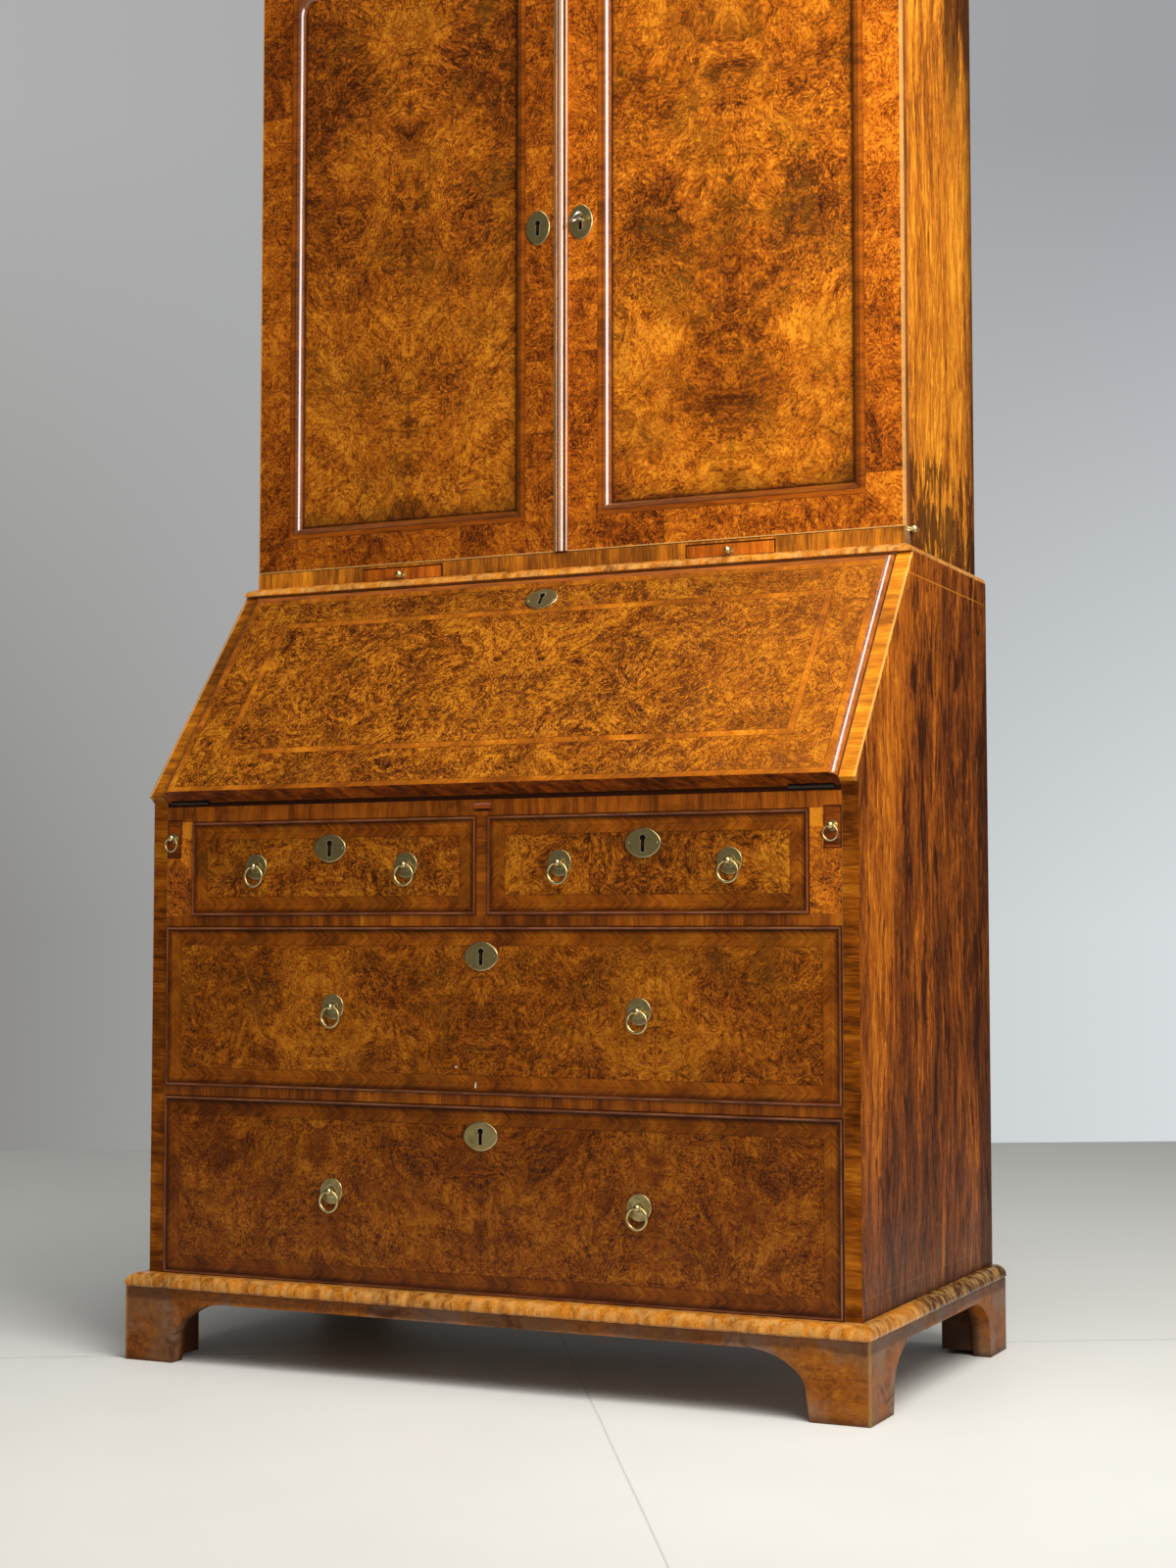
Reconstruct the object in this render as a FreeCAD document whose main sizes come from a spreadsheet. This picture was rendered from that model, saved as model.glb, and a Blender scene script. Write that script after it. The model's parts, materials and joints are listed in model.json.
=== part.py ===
import FreeCAD, Part
import itertools
import math
import os
import Sketcher

# A bureau bookcase in walnut: a chest of four drawers with a sloping fall front over a desk,
# and a two-door bookcase standing on it. Millimetres, +Z up, front towards -Y.
# The origin is on the floor, at the middle of the whole piece's width and depth.

SIZES = {
    # Bureau case
    "case_width": 1000,
    "case_depth": 545,
    "side_thickness": 22,
    "desk_height": 737,
    "slope_height": 308.5,
    "slope_angle": 52.3,
    "slope_lipping": 15,
    "bureau_top_thickness": 24,
    "back_thickness": 12,
    "back_rebate": 10,
    "housing_depth": 8,
    "housing_stop": 15,
    "desk_board_thickness": 25.8,
    "short_drawer_height": 125.2,
    "upper_rail_height": 14.1,
    "upper_drawer_height": 211.5,
    "lower_rail_height": 13.2,
    "divider_thickness": 15,
    # Base
    "foot_height": 95.5,
    "base_moulding_height": 17,
    "base_projection_front": 29,
    "base_projection_side": 19.5,
    "base_moulding_fillet": 2.5,
    "base_moulding_step": 2,
    "base_moulding_round": 12,
    "base_moulding_radius": 15,
    "bracket_setback": 1.5,
    "bracket_thickness": 24,
    "bracket_foot_width": 74,
    "bracket_side_foot_width": 84,
    "bracket_foot_taper": 4,
    "glue_block_lift": 6,
    "bracket_apron_depth": 16,
    "bracket_curve_width": 74,
    "bracket_large_radius": 95,
    "bracket_small_radius": 35,
    "glue_block_width": 45,
    # Waist between the bureau and the bookcase
    "waist_height": 11,
    "waist_inset": 45,
    "waist_fillet": 1.5,
    "waist_round": 11,
    # Bookcase
    "bookcase_step": 15,
    "bookcase_setback": 227,
    "bookcase_side_thickness": 20,
    "bookcase_back_thickness": 10,
    "bookcase_board_thickness": 16,
    "bookcase_back_rebate": 8,
    "shelf_thickness": 15,
    "shelf_setback": 12,
    "candle_rail_height": 22,
    "cornice_fascia": 12,
    "cornice_depth": 20,
    "cornice_bead_radius": 5,
    "cornice_cove_radius": 26,
    "cornice_ovolo_radius": 12,
    "cornice_step": 4,
    # Doors
    "door_thickness": 25,
    "door_bottom_gap": 1,
    "door_back_gap": 0.5,
    "door_meeting_x": 8.9,
    "door_meeting_gap": 1.4,
    "door_opening_start": 71.5,
    "door_outer_stile": 67.5,
    "door_bottom_rail": 62.5,
    "door_top_rail": 66,
    "door_straight_height": 752,
    "door_shoulder_radius": 19,
    "door_moulding_radius": 9,
    "door_panel_bead": 5.5,
    "door_panel_recess": 10,
    "door_panel_tongue": 9,
    "astragal_width": 19,
    "astragal_offset": 0.4,
    "astragal_projection": 8,
    "astragal_left_bead": 4,
    "astragal_middle_bead": 10,
    "astragal_quirk": 0.3,
    # Door pin hinges
    "door_hinge_offset": 5.5,
    "door_hinge_ball": 5.2,
    "door_hinge_pin": 1.6,
    "door_hinge_pin_length": 4.2,
    "door_hinge_plate_length": 34,
    "door_hinge_plate_width": 14,
    "door_hinge_plate_thickness": 2,
    "door_hinge_ball_gap": 0.2,
    "hinge_clearance": 0.05,
    # Candle slides
    "candle_slide_width": 126,
    "candle_slide_inset": 238,
    "candle_slide_back_gap": 58,
    "candle_slide_height": 18,
    "candle_slide_front": 14,
    "candle_slide_board": 11,
    "candle_runner_width": 12,
    "candle_knob_height": 6.5,
    "candle_knob_ball": 5.2,
    "candle_knob_neck": 2.3,
    "candle_knob_length": 11,
    "slide_gap": 0.8,
    # Fall
    "fall_thickness": 23,
    "fall_gap": 1.2,
    "fall_end_gap": 0.6,
    "fall_top_gap": 1,
    "fall_edge_radius": 6,
    "fall_lock_width": 62,
    "fall_lock_height": 42,
    "fall_lock_thickness": 12,
    "fall_escutcheon_drop": 45,
    "fall_escutcheon_offset": 6,
    "fall_edge_step": 1.5,
    "fall_edge_width": 8,
    "fall_slot_width": 19,
    "fall_slot_height": 3.5,
    "fall_slot_depth": 4,
    "fall_slot_rise": 10,
    "fall_hinge_inset": 37,
    "fall_hinge_length": 58,
    "fall_hinge_barrel": 3,
    "fall_hinge_pin": 1.5,
    "fall_hinge_leaf_width": 32,
    "fall_hinge_leaf_thickness": 2,
    "fall_hinge_recess": 4,
    "fall_hinge_knuckle_gap": 0.3,
    # Lopers
    "loper_width": 21.7,
    "loper_height": 50.5,
    "loper_back_gap": 70,
    "loper_cheek_thickness": 17.5,
    "loper_gap": 0.4,
    "loper_knob_drop": 24,
    "loper_knob_neck": 2.8,
    "loper_knob_flange": 6.5,
    "loper_knob_reach": 9,
    "loper_ring_radius": 9,
    "loper_ring_wire": 1.2,
    # Drawers
    "drawer_back_gap": 33,
    "drawer_gap": 0.8,
    "drawer_seat": 0.3,
    "drawer_front_thickness": 20,
    "drawer_side_thickness": 10,
    "drawer_side_drop": 4,
    "drawer_bottom_thickness": 6,
    "drawer_bottom_rise": 4,
    "drawer_back_drop": 14,
    "drawer_lock_width": 56,
    "drawer_lock_height": 36,
    "drawer_lock_thickness": 10,
    "dovetail_length": 12,
    "dovetail_pitch": 38,
    "dovetail_width": 20,
    "dovetail_flare": 3,
    "cock_bead_width": 4,
    "cock_bead_projection": 2.5,
    "cock_bead_round": 1.2,
    "short_pull_inset": 100.95,
    "long_pull_inset": 260.2,
    "pull_rise": 1.5,
    "escutcheon_drop": 38,
    # Ring pulls
    "pull_plate_radius": 16.5,
    "pull_plate_thickness": 2,
    "pull_plate_bevel": 1,
    "pull_boss_radius": 8,
    "pull_boss_height": 0.9,
    "pull_neck": 2.9,
    "pull_ball": 4.6,
    "pull_reach": 8.2,
    "pull_ring_radius": 13,
    "pull_ring_wire": 1.9,
    "ring_eye_clearance": 1.1,
    "ring_eye_lift": 0.3,
    # Escutcheons, locks and key
    "escutcheon_long": 24,
    "escutcheon_short": 18.5,
    "escutcheon_end_radius": 13,
    "escutcheon_thickness": 2.2,
    "escutcheon_round": 1.4,
    "keyhole_radius": 2.6,
    "keyhole_slot": 3.2,
    "keyhole_length": 8.5,
    "keyhole_rise": 3,
    "door_escutcheon_height": 451,
    "door_escutcheon_left": 35,
    "door_escutcheon_gap": 0.3,
    "door_lock_width": 40,
    "door_lock_height": 64,
    "door_lock_thickness": 14,
    "lock_wall": 1.5,
    "lock_cavity_radius": 10,
    "key_radius": 1.9,
    "key_reach": 24,
    "key_bow_long": 10,
    "key_bow_short": 8,
    "key_bow_end": 6.5,
    "key_bow_width": 3.4,
    "key_bow_round": 1.2,
    "key_bit_length": 5,
    "key_bit_height": 6.5,
    "key_bit_thickness": 2,
    "key_collar_radius": 3,
    "key_collar_length": 3,
    "key_turn": 55,
    # Pigeonholes
    "pigeonhole_front_gap": 41,
    "pigeonhole_board": 7,
    "pigeonhole_shelf_height": 92,
    "pigeonhole_top_gap": 11.5,
    # One overrun serves every cut
    "overrun": 5,
}

vector = FreeCAD.Vector
document = FreeCAD.newDocument("bureau_bookcase")
sheet = document.addObject("Spreadsheet::Sheet", "sizes")
for row, (alias, size) in enumerate(SIZES.items(), start=1):
    sheet.set(f"A{row}", str(size))
    sheet.setAlias(f"A{row}", alias)
document.recompute()
sheet_rows = itertools.count(len(SIZES) + 1)


class Size:
    """A size: its value now, and the expression that binds it to the sheet."""

    def __init__(self, value, text):
        self.value = value
        self.text = text

    def __add__(self, other):
        return Size(self.value + number(other), f"({self.text} + {words(other)})")

    def __sub__(self, other):
        return Size(self.value - number(other), f"({self.text} - {words(other)})")

    def __mul__(self, other):
        return Size(self.value * number(other), f"({self.text} * {words(other)})")

    def __truediv__(self, other):
        return Size(self.value / number(other), f"({self.text} / {words(other)})")

    def __neg__(self):
        return Size(-self.value, f"(0 - {self.text})")


def number(size):
    """The value of a size, or the plain number itself."""
    return size.value if isinstance(size, Size) else size


def words(size):
    """The expression of a size, or the plain number itself."""
    return size.text if isinstance(size, Size) else str(size)


def sine(angle):
    return Size(math.sin(math.radians(angle.value)), f"sin({angle.text} * 1 deg)")


def cosine(angle):
    return Size(math.cos(math.radians(angle.value)), f"cos({angle.text} * 1 deg)")


def square_root(size):
    return Size(math.sqrt(size.value), f"sqrt({size.text})")


def derived(alias, size):
    """Writes a worked-out size into the sheet as a formula, and returns it by its alias."""
    cell = f"A{next(sheet_rows)}"
    sheet.set(cell, "=" + size.text.replace("sizes.", ""))
    sheet.setAlias(cell, alias)
    return Size(size.value, "sizes." + alias)


class Sheet:
    """Every size of the sheet, by its alias."""


s = Sheet()
for alias in SIZES:
    setattr(s, alias, Size(float(sheet.get(alias)), "sizes." + alias))


def bind(thing, name, size):
    """Binds one property of an object to a size."""
    thing.setExpression(name, words(size))


def place(thing, x=0, y=0, z=0, turn=0, about=(1, 0, 0)):
    """Puts an object at a place, turned about an axis through its origin."""
    thing.Placement = FreeCAD.Placement(vector(0, 0, 0), FreeCAD.Rotation(vector(*about), number(turn)))
    if number(turn):
        bind(thing, "Placement.Rotation.Angle", turn)
    for name, size in (("x", x), ("y", y), ("z", z)):
        bind(thing, "Placement.Base." + name, size)
    return thing


def block(label, xs, ys, zs):
    """A straight board between the two ends of each of its ranges."""
    board = document.addObject("Part::Box", label)
    for name, ends in (("Length", xs), ("Width", ys), ("Height", zs)):
        bind(board, name, Size(0, "0") + ends[1] - ends[0])
    return place(board, xs[0], ys[0], zs[0])


def rod(label, radius, length, x=0, y=0, z=0, along="Z"):
    """A round bar that starts at a place and runs along one axis."""
    bar = document.addObject("Part::Cylinder", label)
    bind(bar, "Radius", radius)
    bind(bar, "Height", length)
    turn, about = {"X": (90, (0, 1, 0)), "Y": (-90, (1, 0, 0)), "Z": (0, (0, 0, 1))}[along]
    bar.Placement = FreeCAD.Placement(vector(0, 0, 0), FreeCAD.Rotation(vector(*about), turn))
    for name, size in (("x", x), ("y", y), ("z", z)):
        bind(bar, "Placement.Base." + name, size)
    return bar


def hoop(label, radius, wire, x=0, y=0, z=0):
    """A round ring of wire that hangs in an upright plane facing the front."""
    ring = document.addObject("Part::Torus", label)
    bind(ring, "Radius1", radius)
    bind(ring, "Radius2", wire)
    ring.Placement = FreeCAD.Placement(vector(0, 0, 0), FreeCAD.Rotation(vector(1, 0, 0), 90))
    for name, size in (("x", x), ("y", y), ("z", z)):
        bind(ring, "Placement.Base." + name, size)
    return ring


def fused(label, pieces):
    joined = document.addObject("Part::MultiFuse", label)
    joined.Shapes = pieces
    return joined


def cut(label, base, tool):
    rest = document.addObject("Part::Cut", label)
    rest.Base = base
    rest.Tool = tool
    return rest


def group(label, pieces):
    """Several separate pieces that share one name."""
    several = document.addObject("Part::Compound", label)
    several.Links = pieces
    return several


def new_body(label):
    return document.addObject("PartDesign::Body", label)


def sketch_on(body, role, offset):
    """A sketch on one of the body's own planes, moved along the plane's normal."""
    plane = next(item for item in body.Origin.OriginFeatures if item.Role == role)
    sketch = body.newObject("Sketcher::SketchObject", "sketch")
    sketch.AttachmentSupport = [(plane, "")]
    sketch.MapMode = "FlatFace"
    bind(sketch, "AttachmentOffset.Base.z", offset)
    return sketch


def arc_between(start, end, radius):
    """The shorter arc between two points; its centre is left of the way for a positive radius."""
    chord = end - start
    half = chord.Length / 2
    rise = math.sqrt(max(0, radius * radius - half * half))
    left = vector(-chord.y, chord.x, 0).normalize()
    centre = (start + end) / 2 + left * math.copysign(rise, radius)
    first, last = (start, end) if radius > 0 else (end, start)
    angles = [math.atan2(point.y - centre.y, point.x - centre.x) for point in (first, last)]
    if angles[1] <= angles[0]:
        angles[1] += 2 * math.pi
    return Part.ArcOfCircle(Part.Circle(centre, vector(0, 0, 1), abs(radius)), *angles)


def outline(sketch, corners, closed=True):
    """Joins corners (x, y) with lines; a third value is the radius of the arc that leaves there."""
    points = [vector(number(corner[0]), number(corner[1]), 0) for corner in corners]
    first = sketch.GeometryCount
    count = len(corners) if closed else len(corners) - 1
    starts = []
    for index in range(count):
        start, end = points[index], points[(index + 1) % len(points)]
        radius = corners[index][2] if len(corners[index]) > 2 else None
        if radius is None:
            sketch.addGeometry(Part.LineSegment(start, end))
        else:
            sketch.addGeometry(arc_between(start, end, radius.value))
        backwards = radius is not None and radius.value < 0
        starts.append(2 if backwards else 1)
        if radius is not None:
            size = -radius if backwards else radius
            constrain(sketch, ("Radius", first + index), size)
    for index in range(count):
        constrain(sketch, ("DistanceX", -1, 1, first + index, starts[index]), corners[index][0])
        constrain(sketch, ("DistanceY", -1, 1, first + index, starts[index]), corners[index][1])
    for index in range(count - 1 + closed):
        after = (index + 1) % count
        ends = (first + index, 3 - starts[index], first + after, starts[after])
        sketch.addConstraint(Sketcher.Constraint("Coincident", *ends))
    if not closed:
        last = (first + count - 1, 3 - starts[-1])
        constrain(sketch, ("DistanceX", -1, 1) + last, corners[-1][0])
        constrain(sketch, ("DistanceY", -1, 1) + last, corners[-1][1])


def constrain(sketch, what, size):
    index = sketch.addConstraint(Sketcher.Constraint(*what, number(size)))
    if isinstance(size, Size):
        sketch.setExpression(f"Constraints[{index}]", size.text)


def rectangle(sketch, xs, ys):
    outline(sketch, [(xs[0], ys[0]), (xs[1], ys[0]), (xs[1], ys[1]), (xs[0], ys[1])])


def pad(body, sketch, length):
    """Adds the sketch's outline, carried along the sketch's normal."""
    feature = body.newObject("PartDesign::Pad", "pad")
    feature.Profile = sketch
    bind(feature, "Length", length)
    return feature


def pocket(body, sketch, depth, along_normal=False):
    """Cuts the sketch's outline to a depth, against the sketch's normal or along it."""
    document.recompute()
    before = body.Shape.Volume
    feature = body.newObject("PartDesign::Pocket", "pocket")
    feature.Profile = sketch
    feature.Reversed = along_normal
    bind(feature, "Length", depth)
    document.recompute()
    if not body.Shape.Volume < before:
        raise RuntimeError(f"a pocket in {body.Label} cut nothing")
    return feature


def revolve(body, sketch, axis):
    """Adds the sketch's outline, turned once about the sketch's own axis."""
    feature = body.newObject("PartDesign::Revolution", "revolution")
    feature.Profile = sketch
    feature.ReferenceAxis = (sketch, [axis])
    feature.Angle = 360
    return feature


def round_edges(body, radius, chosen):
    """Rounds the edges whose bounding box the test accepts."""
    document.recompute()
    solid = body.Tip
    names = [f"Edge{i}" for i, edge in enumerate(solid.Shape.Edges, start=1) if chosen(edge.BoundBox)]
    feature = body.newObject("PartDesign::Fillet", "fillet")
    feature.Base = (solid, names)
    bind(feature, "Radius", radius)
    return feature


def same(one, other):
    """Whether two coordinates are the same, to a rounding error."""
    return math.isclose(number(one), number(other), abs_tol=1e-6)


def to_side(hand, ends):
    """A range on the right, or its mirror image on the left."""
    return ends if hand > 0 else (-ends[1], -ends[0])


def flipped(corners):
    """The mirror image of an outline, walked the same way round."""
    order = range(len(corners) - 1, -1, -1)
    return [(-corners[i][0], corners[i][1]) + tuple(corners[i - 1][2:]) for i in order]


HANDS = (("left", -1), ("right", 1))

# A half-round bead is drawn a little flatter than half a circle, so that its arc has one shorter way
HALF_ROUND_SHARE = 1.001

# Levels and planes that several pieces share
front = derived("front_plane", (s.base_projection_front - s.case_depth) / 2)
back = derived("back_plane", front + s.case_depth)
half_width = s.case_width / 2
inner_half = derived("case_inner_half", half_width - s.side_thickness)
back_front = back - s.back_thickness
drawer_floor = s.foot_height + s.base_moulding_height
desk_under = derived("desk_under", s.desk_height - s.desk_board_thickness)
short_floor = derived("short_drawer_floor", desk_under - s.short_drawer_height)
bureau_level = derived("bureau_height", s.desk_height + s.slope_height)
drawer_length = derived("drawer_length", s.case_depth - s.back_thickness - s.drawer_back_gap)
upper_top = short_floor - s.upper_rail_height
upper_floor = derived("upper_drawer_floor", upper_top - s.upper_drawer_height)
lower_top = upper_floor - s.lower_rail_height
slope_sine = derived("slope_sine", sine(s.slope_angle))
slope_cosine = derived("slope_cosine", cosine(s.slope_angle))
waist_top = derived("waist_top", bureau_level + s.waist_height)
bookcase_half = derived("bookcase_half", half_width - s.bookcase_step)
bookcase_inner = bookcase_half - s.bookcase_side_thickness
door_front = derived("door_front", front + s.bookcase_setback)
door_plane = derived("door_plane", door_front + s.door_thickness)
door_back = door_plane - s.door_back_gap
rail_top = derived("candle_rail_top", waist_top + s.candle_rail_height)
candle_bottom = waist_top + s.drawer_seat
candle_top = candle_bottom + s.candle_slide_height
bottom_under = derived("bookcase_bottom_under", candle_top + s.slide_gap * 2)
bottom_top = bottom_under + s.bookcase_board_thickness
door_bottom = derived("door_bottom", rail_top + s.door_bottom_gap)
door_opening_end = bookcase_half - s.door_outer_stile
door_panel_half = derived("door_panel_half", (door_opening_end - s.door_opening_start) / 2)
door_panel_centre = s.door_opening_start + door_panel_half
door_arch_radius = door_panel_half - s.door_shoulder_radius
door_sill = door_bottom + s.door_bottom_rail
door_spring = derived("door_spring", door_sill + s.door_straight_height)
door_arch_level = door_spring + s.door_shoulder_radius
door_top = derived("door_top", door_arch_level + door_arch_radius + s.door_top_rail)
bookcase_top = derived("bookcase_top_level", door_top + s.door_bottom_gap)
bookcase_lid = bookcase_top + s.bookcase_board_thickness
bookcase_back_front = back - s.bookcase_back_thickness
candle_slide_centre = bookcase_half - s.candle_slide_inset
candle_slide_rear = bookcase_back_front - s.candle_slide_back_gap
SHELVES = 3
shelf_space = derived(
    "shelf_space", (bookcase_top - bottom_top - s.shelf_thickness * SHELVES) / (SHELVES + 1)
)
shelf_levels = [
    bottom_top + shelf_space * (index + 1) + s.shelf_thickness * index for index in range(SHELVES)
]


# Carcase boards

def housed_board(label, half, front_y, back_y, bottom, thickness, depth):
    """A board between two sides, with its ends let into them behind a stop."""
    body = new_body(label)
    sketch = sketch_on(body, "XY_Plane", bottom)
    stop = front_y + s.housing_stop
    right = [(half, front_y), (half, stop), (half + depth, stop), (half + depth, back_y)]
    outline(sketch, right + flipped(right))
    pad(body, sketch, thickness)
    return body


def bureau_side(label, hand):
    """A side board with its sloping front edge, housings for the boards and a back rebate."""
    lip_y = front - s.slope_lipping * slope_sine
    lip_z = s.desk_height + s.slope_lipping * slope_cosine
    slope_end = lip_y + (bureau_level - lip_z) * slope_cosine / slope_sine
    body = new_body(label)
    sketch = sketch_on(body, "YZ_Plane", to_side(hand, (inner_half, half_width))[0])
    corners = [(front, s.foot_height), (back, s.foot_height), (back, bureau_level)]
    corners += [(slope_end, bureau_level), (lip_y, lip_z), (front, s.desk_height)]
    outline(sketch, corners)
    pad(body, sketch, s.side_thickness)
    inner_face = inner_half if hand > 0 else -inner_half
    rebate = sketch_on(body, "YZ_Plane", inner_face)
    rebate_zs = (s.foot_height - s.overrun, bureau_level + s.overrun)
    rectangle(rebate, (back_front, back + s.overrun), rebate_zs)
    pocket(body, rebate, s.back_rebate, hand > 0)
    housings = sketch_on(body, "YZ_Plane", inner_face)
    levels = [(s.foot_height, drawer_floor), (lower_top, upper_floor), (upper_top, short_floor)]
    levels.append((desk_under, s.desk_height))
    for level in levels:
        rectangle(housings, (front + s.housing_stop, back_front + s.overrun), level)
    pocket(body, housings, s.housing_depth, hand > 0)
    return body


def dustboards():
    """The bottom board and the two boards between the drawers, their front edges the rails."""
    boards = []
    for name, bottom, thickness in (
        ("bottom_board", s.foot_height, s.base_moulding_height),
        ("lower_dustboard", lower_top, s.lower_rail_height),
        ("upper_dustboard", upper_top, s.upper_rail_height),
    ):
        boards.append(housed_board(name, inner_half, front, back_front, bottom, thickness, s.housing_depth))
    return group("dustboards", boards)


loper_space = (inner_half - s.loper_width - s.loper_gap - s.loper_gap, inner_half)
loper_top = s.desk_height - s.fall_thickness - s.drawer_seat
loper_bottom = loper_top - s.loper_height
loper_floor = loper_bottom - s.drawer_seat
loper_ceiling = loper_top + s.loper_gap
fall_hinge_half = s.fall_hinge_length / 2
fall_hinge_centre = inner_half - s.fall_hinge_inset


def fall_hinge_range(hand, extra=0):
    half = fall_hinge_half + extra
    return to_side(hand, (fall_hinge_centre - half, fall_hinge_centre + half))


def recess_fall_hinges(board, level, edge, upwards):
    """Cuts room for the hinges' knuckles and leaves into a board's face, from its edge."""
    for reach, depth in (
        (s.fall_hinge_recess, s.fall_hinge_recess),
        (s.fall_hinge_leaf_width, s.fall_hinge_leaf_thickness),
    ):
        recess = sketch_on(board, "XY_Plane", level)
        for _, hand in HANDS:
            xs = fall_hinge_range(hand, s.fall_hinge_knuckle_gap)
            rectangle(recess, xs, (edge - s.overrun, edge + reach))
        pocket(board, recess, depth, upwards)


def desk_board():
    """The writing board, notched over the lopers and let in for the fall's hinges."""
    board = housed_board(
        "desk_board", inner_half, front, back_front, desk_under, s.desk_board_thickness, s.housing_depth
    )
    notches = sketch_on(board, "XY_Plane", desk_under)
    for _, hand in HANDS:
        rectangle(notches, to_side(hand, loper_space), (front - s.overrun, front + drawer_length))
    pocket(board, notches, loper_ceiling - desk_under, True)
    recess_fall_hinges(board, s.desk_height, front, False)
    return board


def drawer_partitions():
    """The divider between the short drawers, and the cheeks that house the lopers."""
    divider_half = s.divider_thickness / 2
    rear = front + drawer_length
    pieces = [block("divider", (-divider_half, divider_half), (front, rear), (short_floor, desk_under))]
    inner = loper_space[0] - s.loper_cheek_thickness
    for name, hand in HANDS:
        cheek = new_body("loper_cheek_" + name)
        sketch = sketch_on(cheek, "XZ_Plane", -rear)
        corners = [(inner, short_floor), (inner_half, short_floor), (inner_half, loper_floor)]
        corners += [(loper_space[0], loper_floor), (loper_space[0], desk_under), (inner, desk_under)]
        outline(sketch, corners if hand > 0 else flipped(corners))
        pad(cheek, sketch, rear - front)
        pieces.append(cheek)
    return group("drawer_partitions", pieces)


def bureau_back():
    half = inner_half + s.back_rebate
    return block("bureau_back", (-half, half), (back_front, back), (s.foot_height, bureau_level))


fall_rise = s.slope_height - s.fall_top_gap
fall_length = derived("fall_length", (fall_rise - s.fall_thickness * slope_cosine) / slope_sine)


def bureau_top():
    """The board over the desk; its bevelled front edge meets the top of the fall."""
    body = new_body("bureau_top")
    sketch = sketch_on(body, "YZ_Plane", -inner_half)
    under = bureau_level - s.bureau_top_thickness
    reach = fall_length + s.fall_top_gap + s.fall_end_gap
    rest_y = front + (under - s.desk_height) * slope_cosine / slope_sine + s.fall_end_gap
    bevel_y = front + reach * slope_cosine + s.fall_end_gap
    bevel_z = s.desk_height + reach * slope_sine
    nose_y = bevel_y - (bureau_level - bevel_z) * slope_sine / slope_cosine
    corners = [(rest_y, under), (back_front, under), (back_front, bureau_level)]
    corners += [(nose_y, bureau_level), (bevel_y, bevel_z)]
    outline(sketch, corners)
    pad(body, sketch, inner_half + inner_half)
    return body


# Mouldings and base

def moulding(label, half, front_y, corners, level):
    """A moulding round the front and both sides, mitred at the corners."""
    body = new_body(label)
    path = sketch_on(body, "XY_Plane", level)
    outline(path, [(half, back), (half, front_y), (-half, front_y), (-half, back)], closed=False)
    profile = sketch_on(body, "XZ_Plane", -back)
    outline(profile, corners)
    document.recompute()
    sweep = body.newObject("PartDesign::AdditivePipe", "sweep")
    sweep.Profile = profile
    sweep.Spine = path
    sweep.Transition = "Right corner"
    return body


def base_moulding():
    """The ovolo moulding round the foot of the case, with a flat ledge behind it in front."""
    nose = half_width + s.base_projection_side
    top = s.foot_height + s.base_moulding_height
    corners = [(half_width, s.foot_height), (nose - s.base_moulding_step, s.foot_height)]
    corners += [(nose - s.base_moulding_step, s.foot_height + s.base_moulding_fillet)]
    corners += [(nose, s.foot_height + s.base_moulding_fillet, s.base_moulding_radius)]
    corners += [(nose - s.base_moulding_round, top), (half_width, top)]
    sweep = moulding("base_sweep", nose, front - s.base_projection_front, corners, s.foot_height)
    ledge_front = front - s.base_projection_front + s.base_projection_side
    ledge = block("base_ledge", (-half_width, half_width), (ledge_front, front), (s.foot_height, top))
    return fused("base_moulding", [sweep, ledge])


bracket_half = half_width + s.base_projection_side - s.bracket_setback
bracket_front = front - s.base_projection_front + s.bracket_setback
apron_bottom = s.foot_height - s.bracket_apron_depth
curve_radii_gap = s.bracket_large_radius - s.bracket_small_radius
curve_sine = (s.bracket_curve_width - s.bracket_small_radius) / curve_radii_gap
curve_cosine = square_root(Size(1, "1") - curve_sine * curve_sine)
curve_height = s.bracket_large_radius - curve_radii_gap * curve_cosine


def foot_curve(edge):
    """The inner edge of a left foot, from the floor to the apron."""
    top = edge + s.bracket_foot_taper
    turn_x = top + s.bracket_small_radius - s.bracket_small_radius * curve_sine
    turn_z = apron_bottom - s.bracket_large_radius + s.bracket_large_radius * curve_cosine
    return [
        (edge, 0),
        (top, apron_bottom - curve_height, -s.bracket_small_radius),
        (turn_x, turn_z, -s.bracket_large_radius),
        (top + s.bracket_curve_width, apron_bottom),
    ]


def bracket_board(label, role, ends, feet, plane):
    """A base board with a foot at each end, cut away between them."""
    body = new_body(label)
    sketch = sketch_on(body, role, plane)
    corners = [(ends[0], 0)] + foot_curve(ends[0] + feet[0])
    corners += flipped(foot_curve(feet[1] - ends[1]))
    corners += [(ends[1], 0), (ends[1], s.foot_height), (ends[0], s.foot_height)]
    outline(sketch, corners)
    pad(body, sketch, s.bracket_thickness)
    return body


def rear_bracket(name, hand):
    """The short board behind a rear foot."""
    side_inner = bracket_half - s.bracket_thickness
    body = new_body("rear_bracket_" + name)
    sketch = sketch_on(body, "XZ_Plane", -back)
    corners = [(-side_inner, 0)] + foot_curve(s.bracket_foot_width - bracket_half)
    corners += [(corners[-1][0], s.foot_height), (-side_inner, s.foot_height)]
    outline(sketch, flipped(corners) if hand > 0 else corners)
    pad(body, sketch, s.bracket_thickness)
    return body


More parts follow.
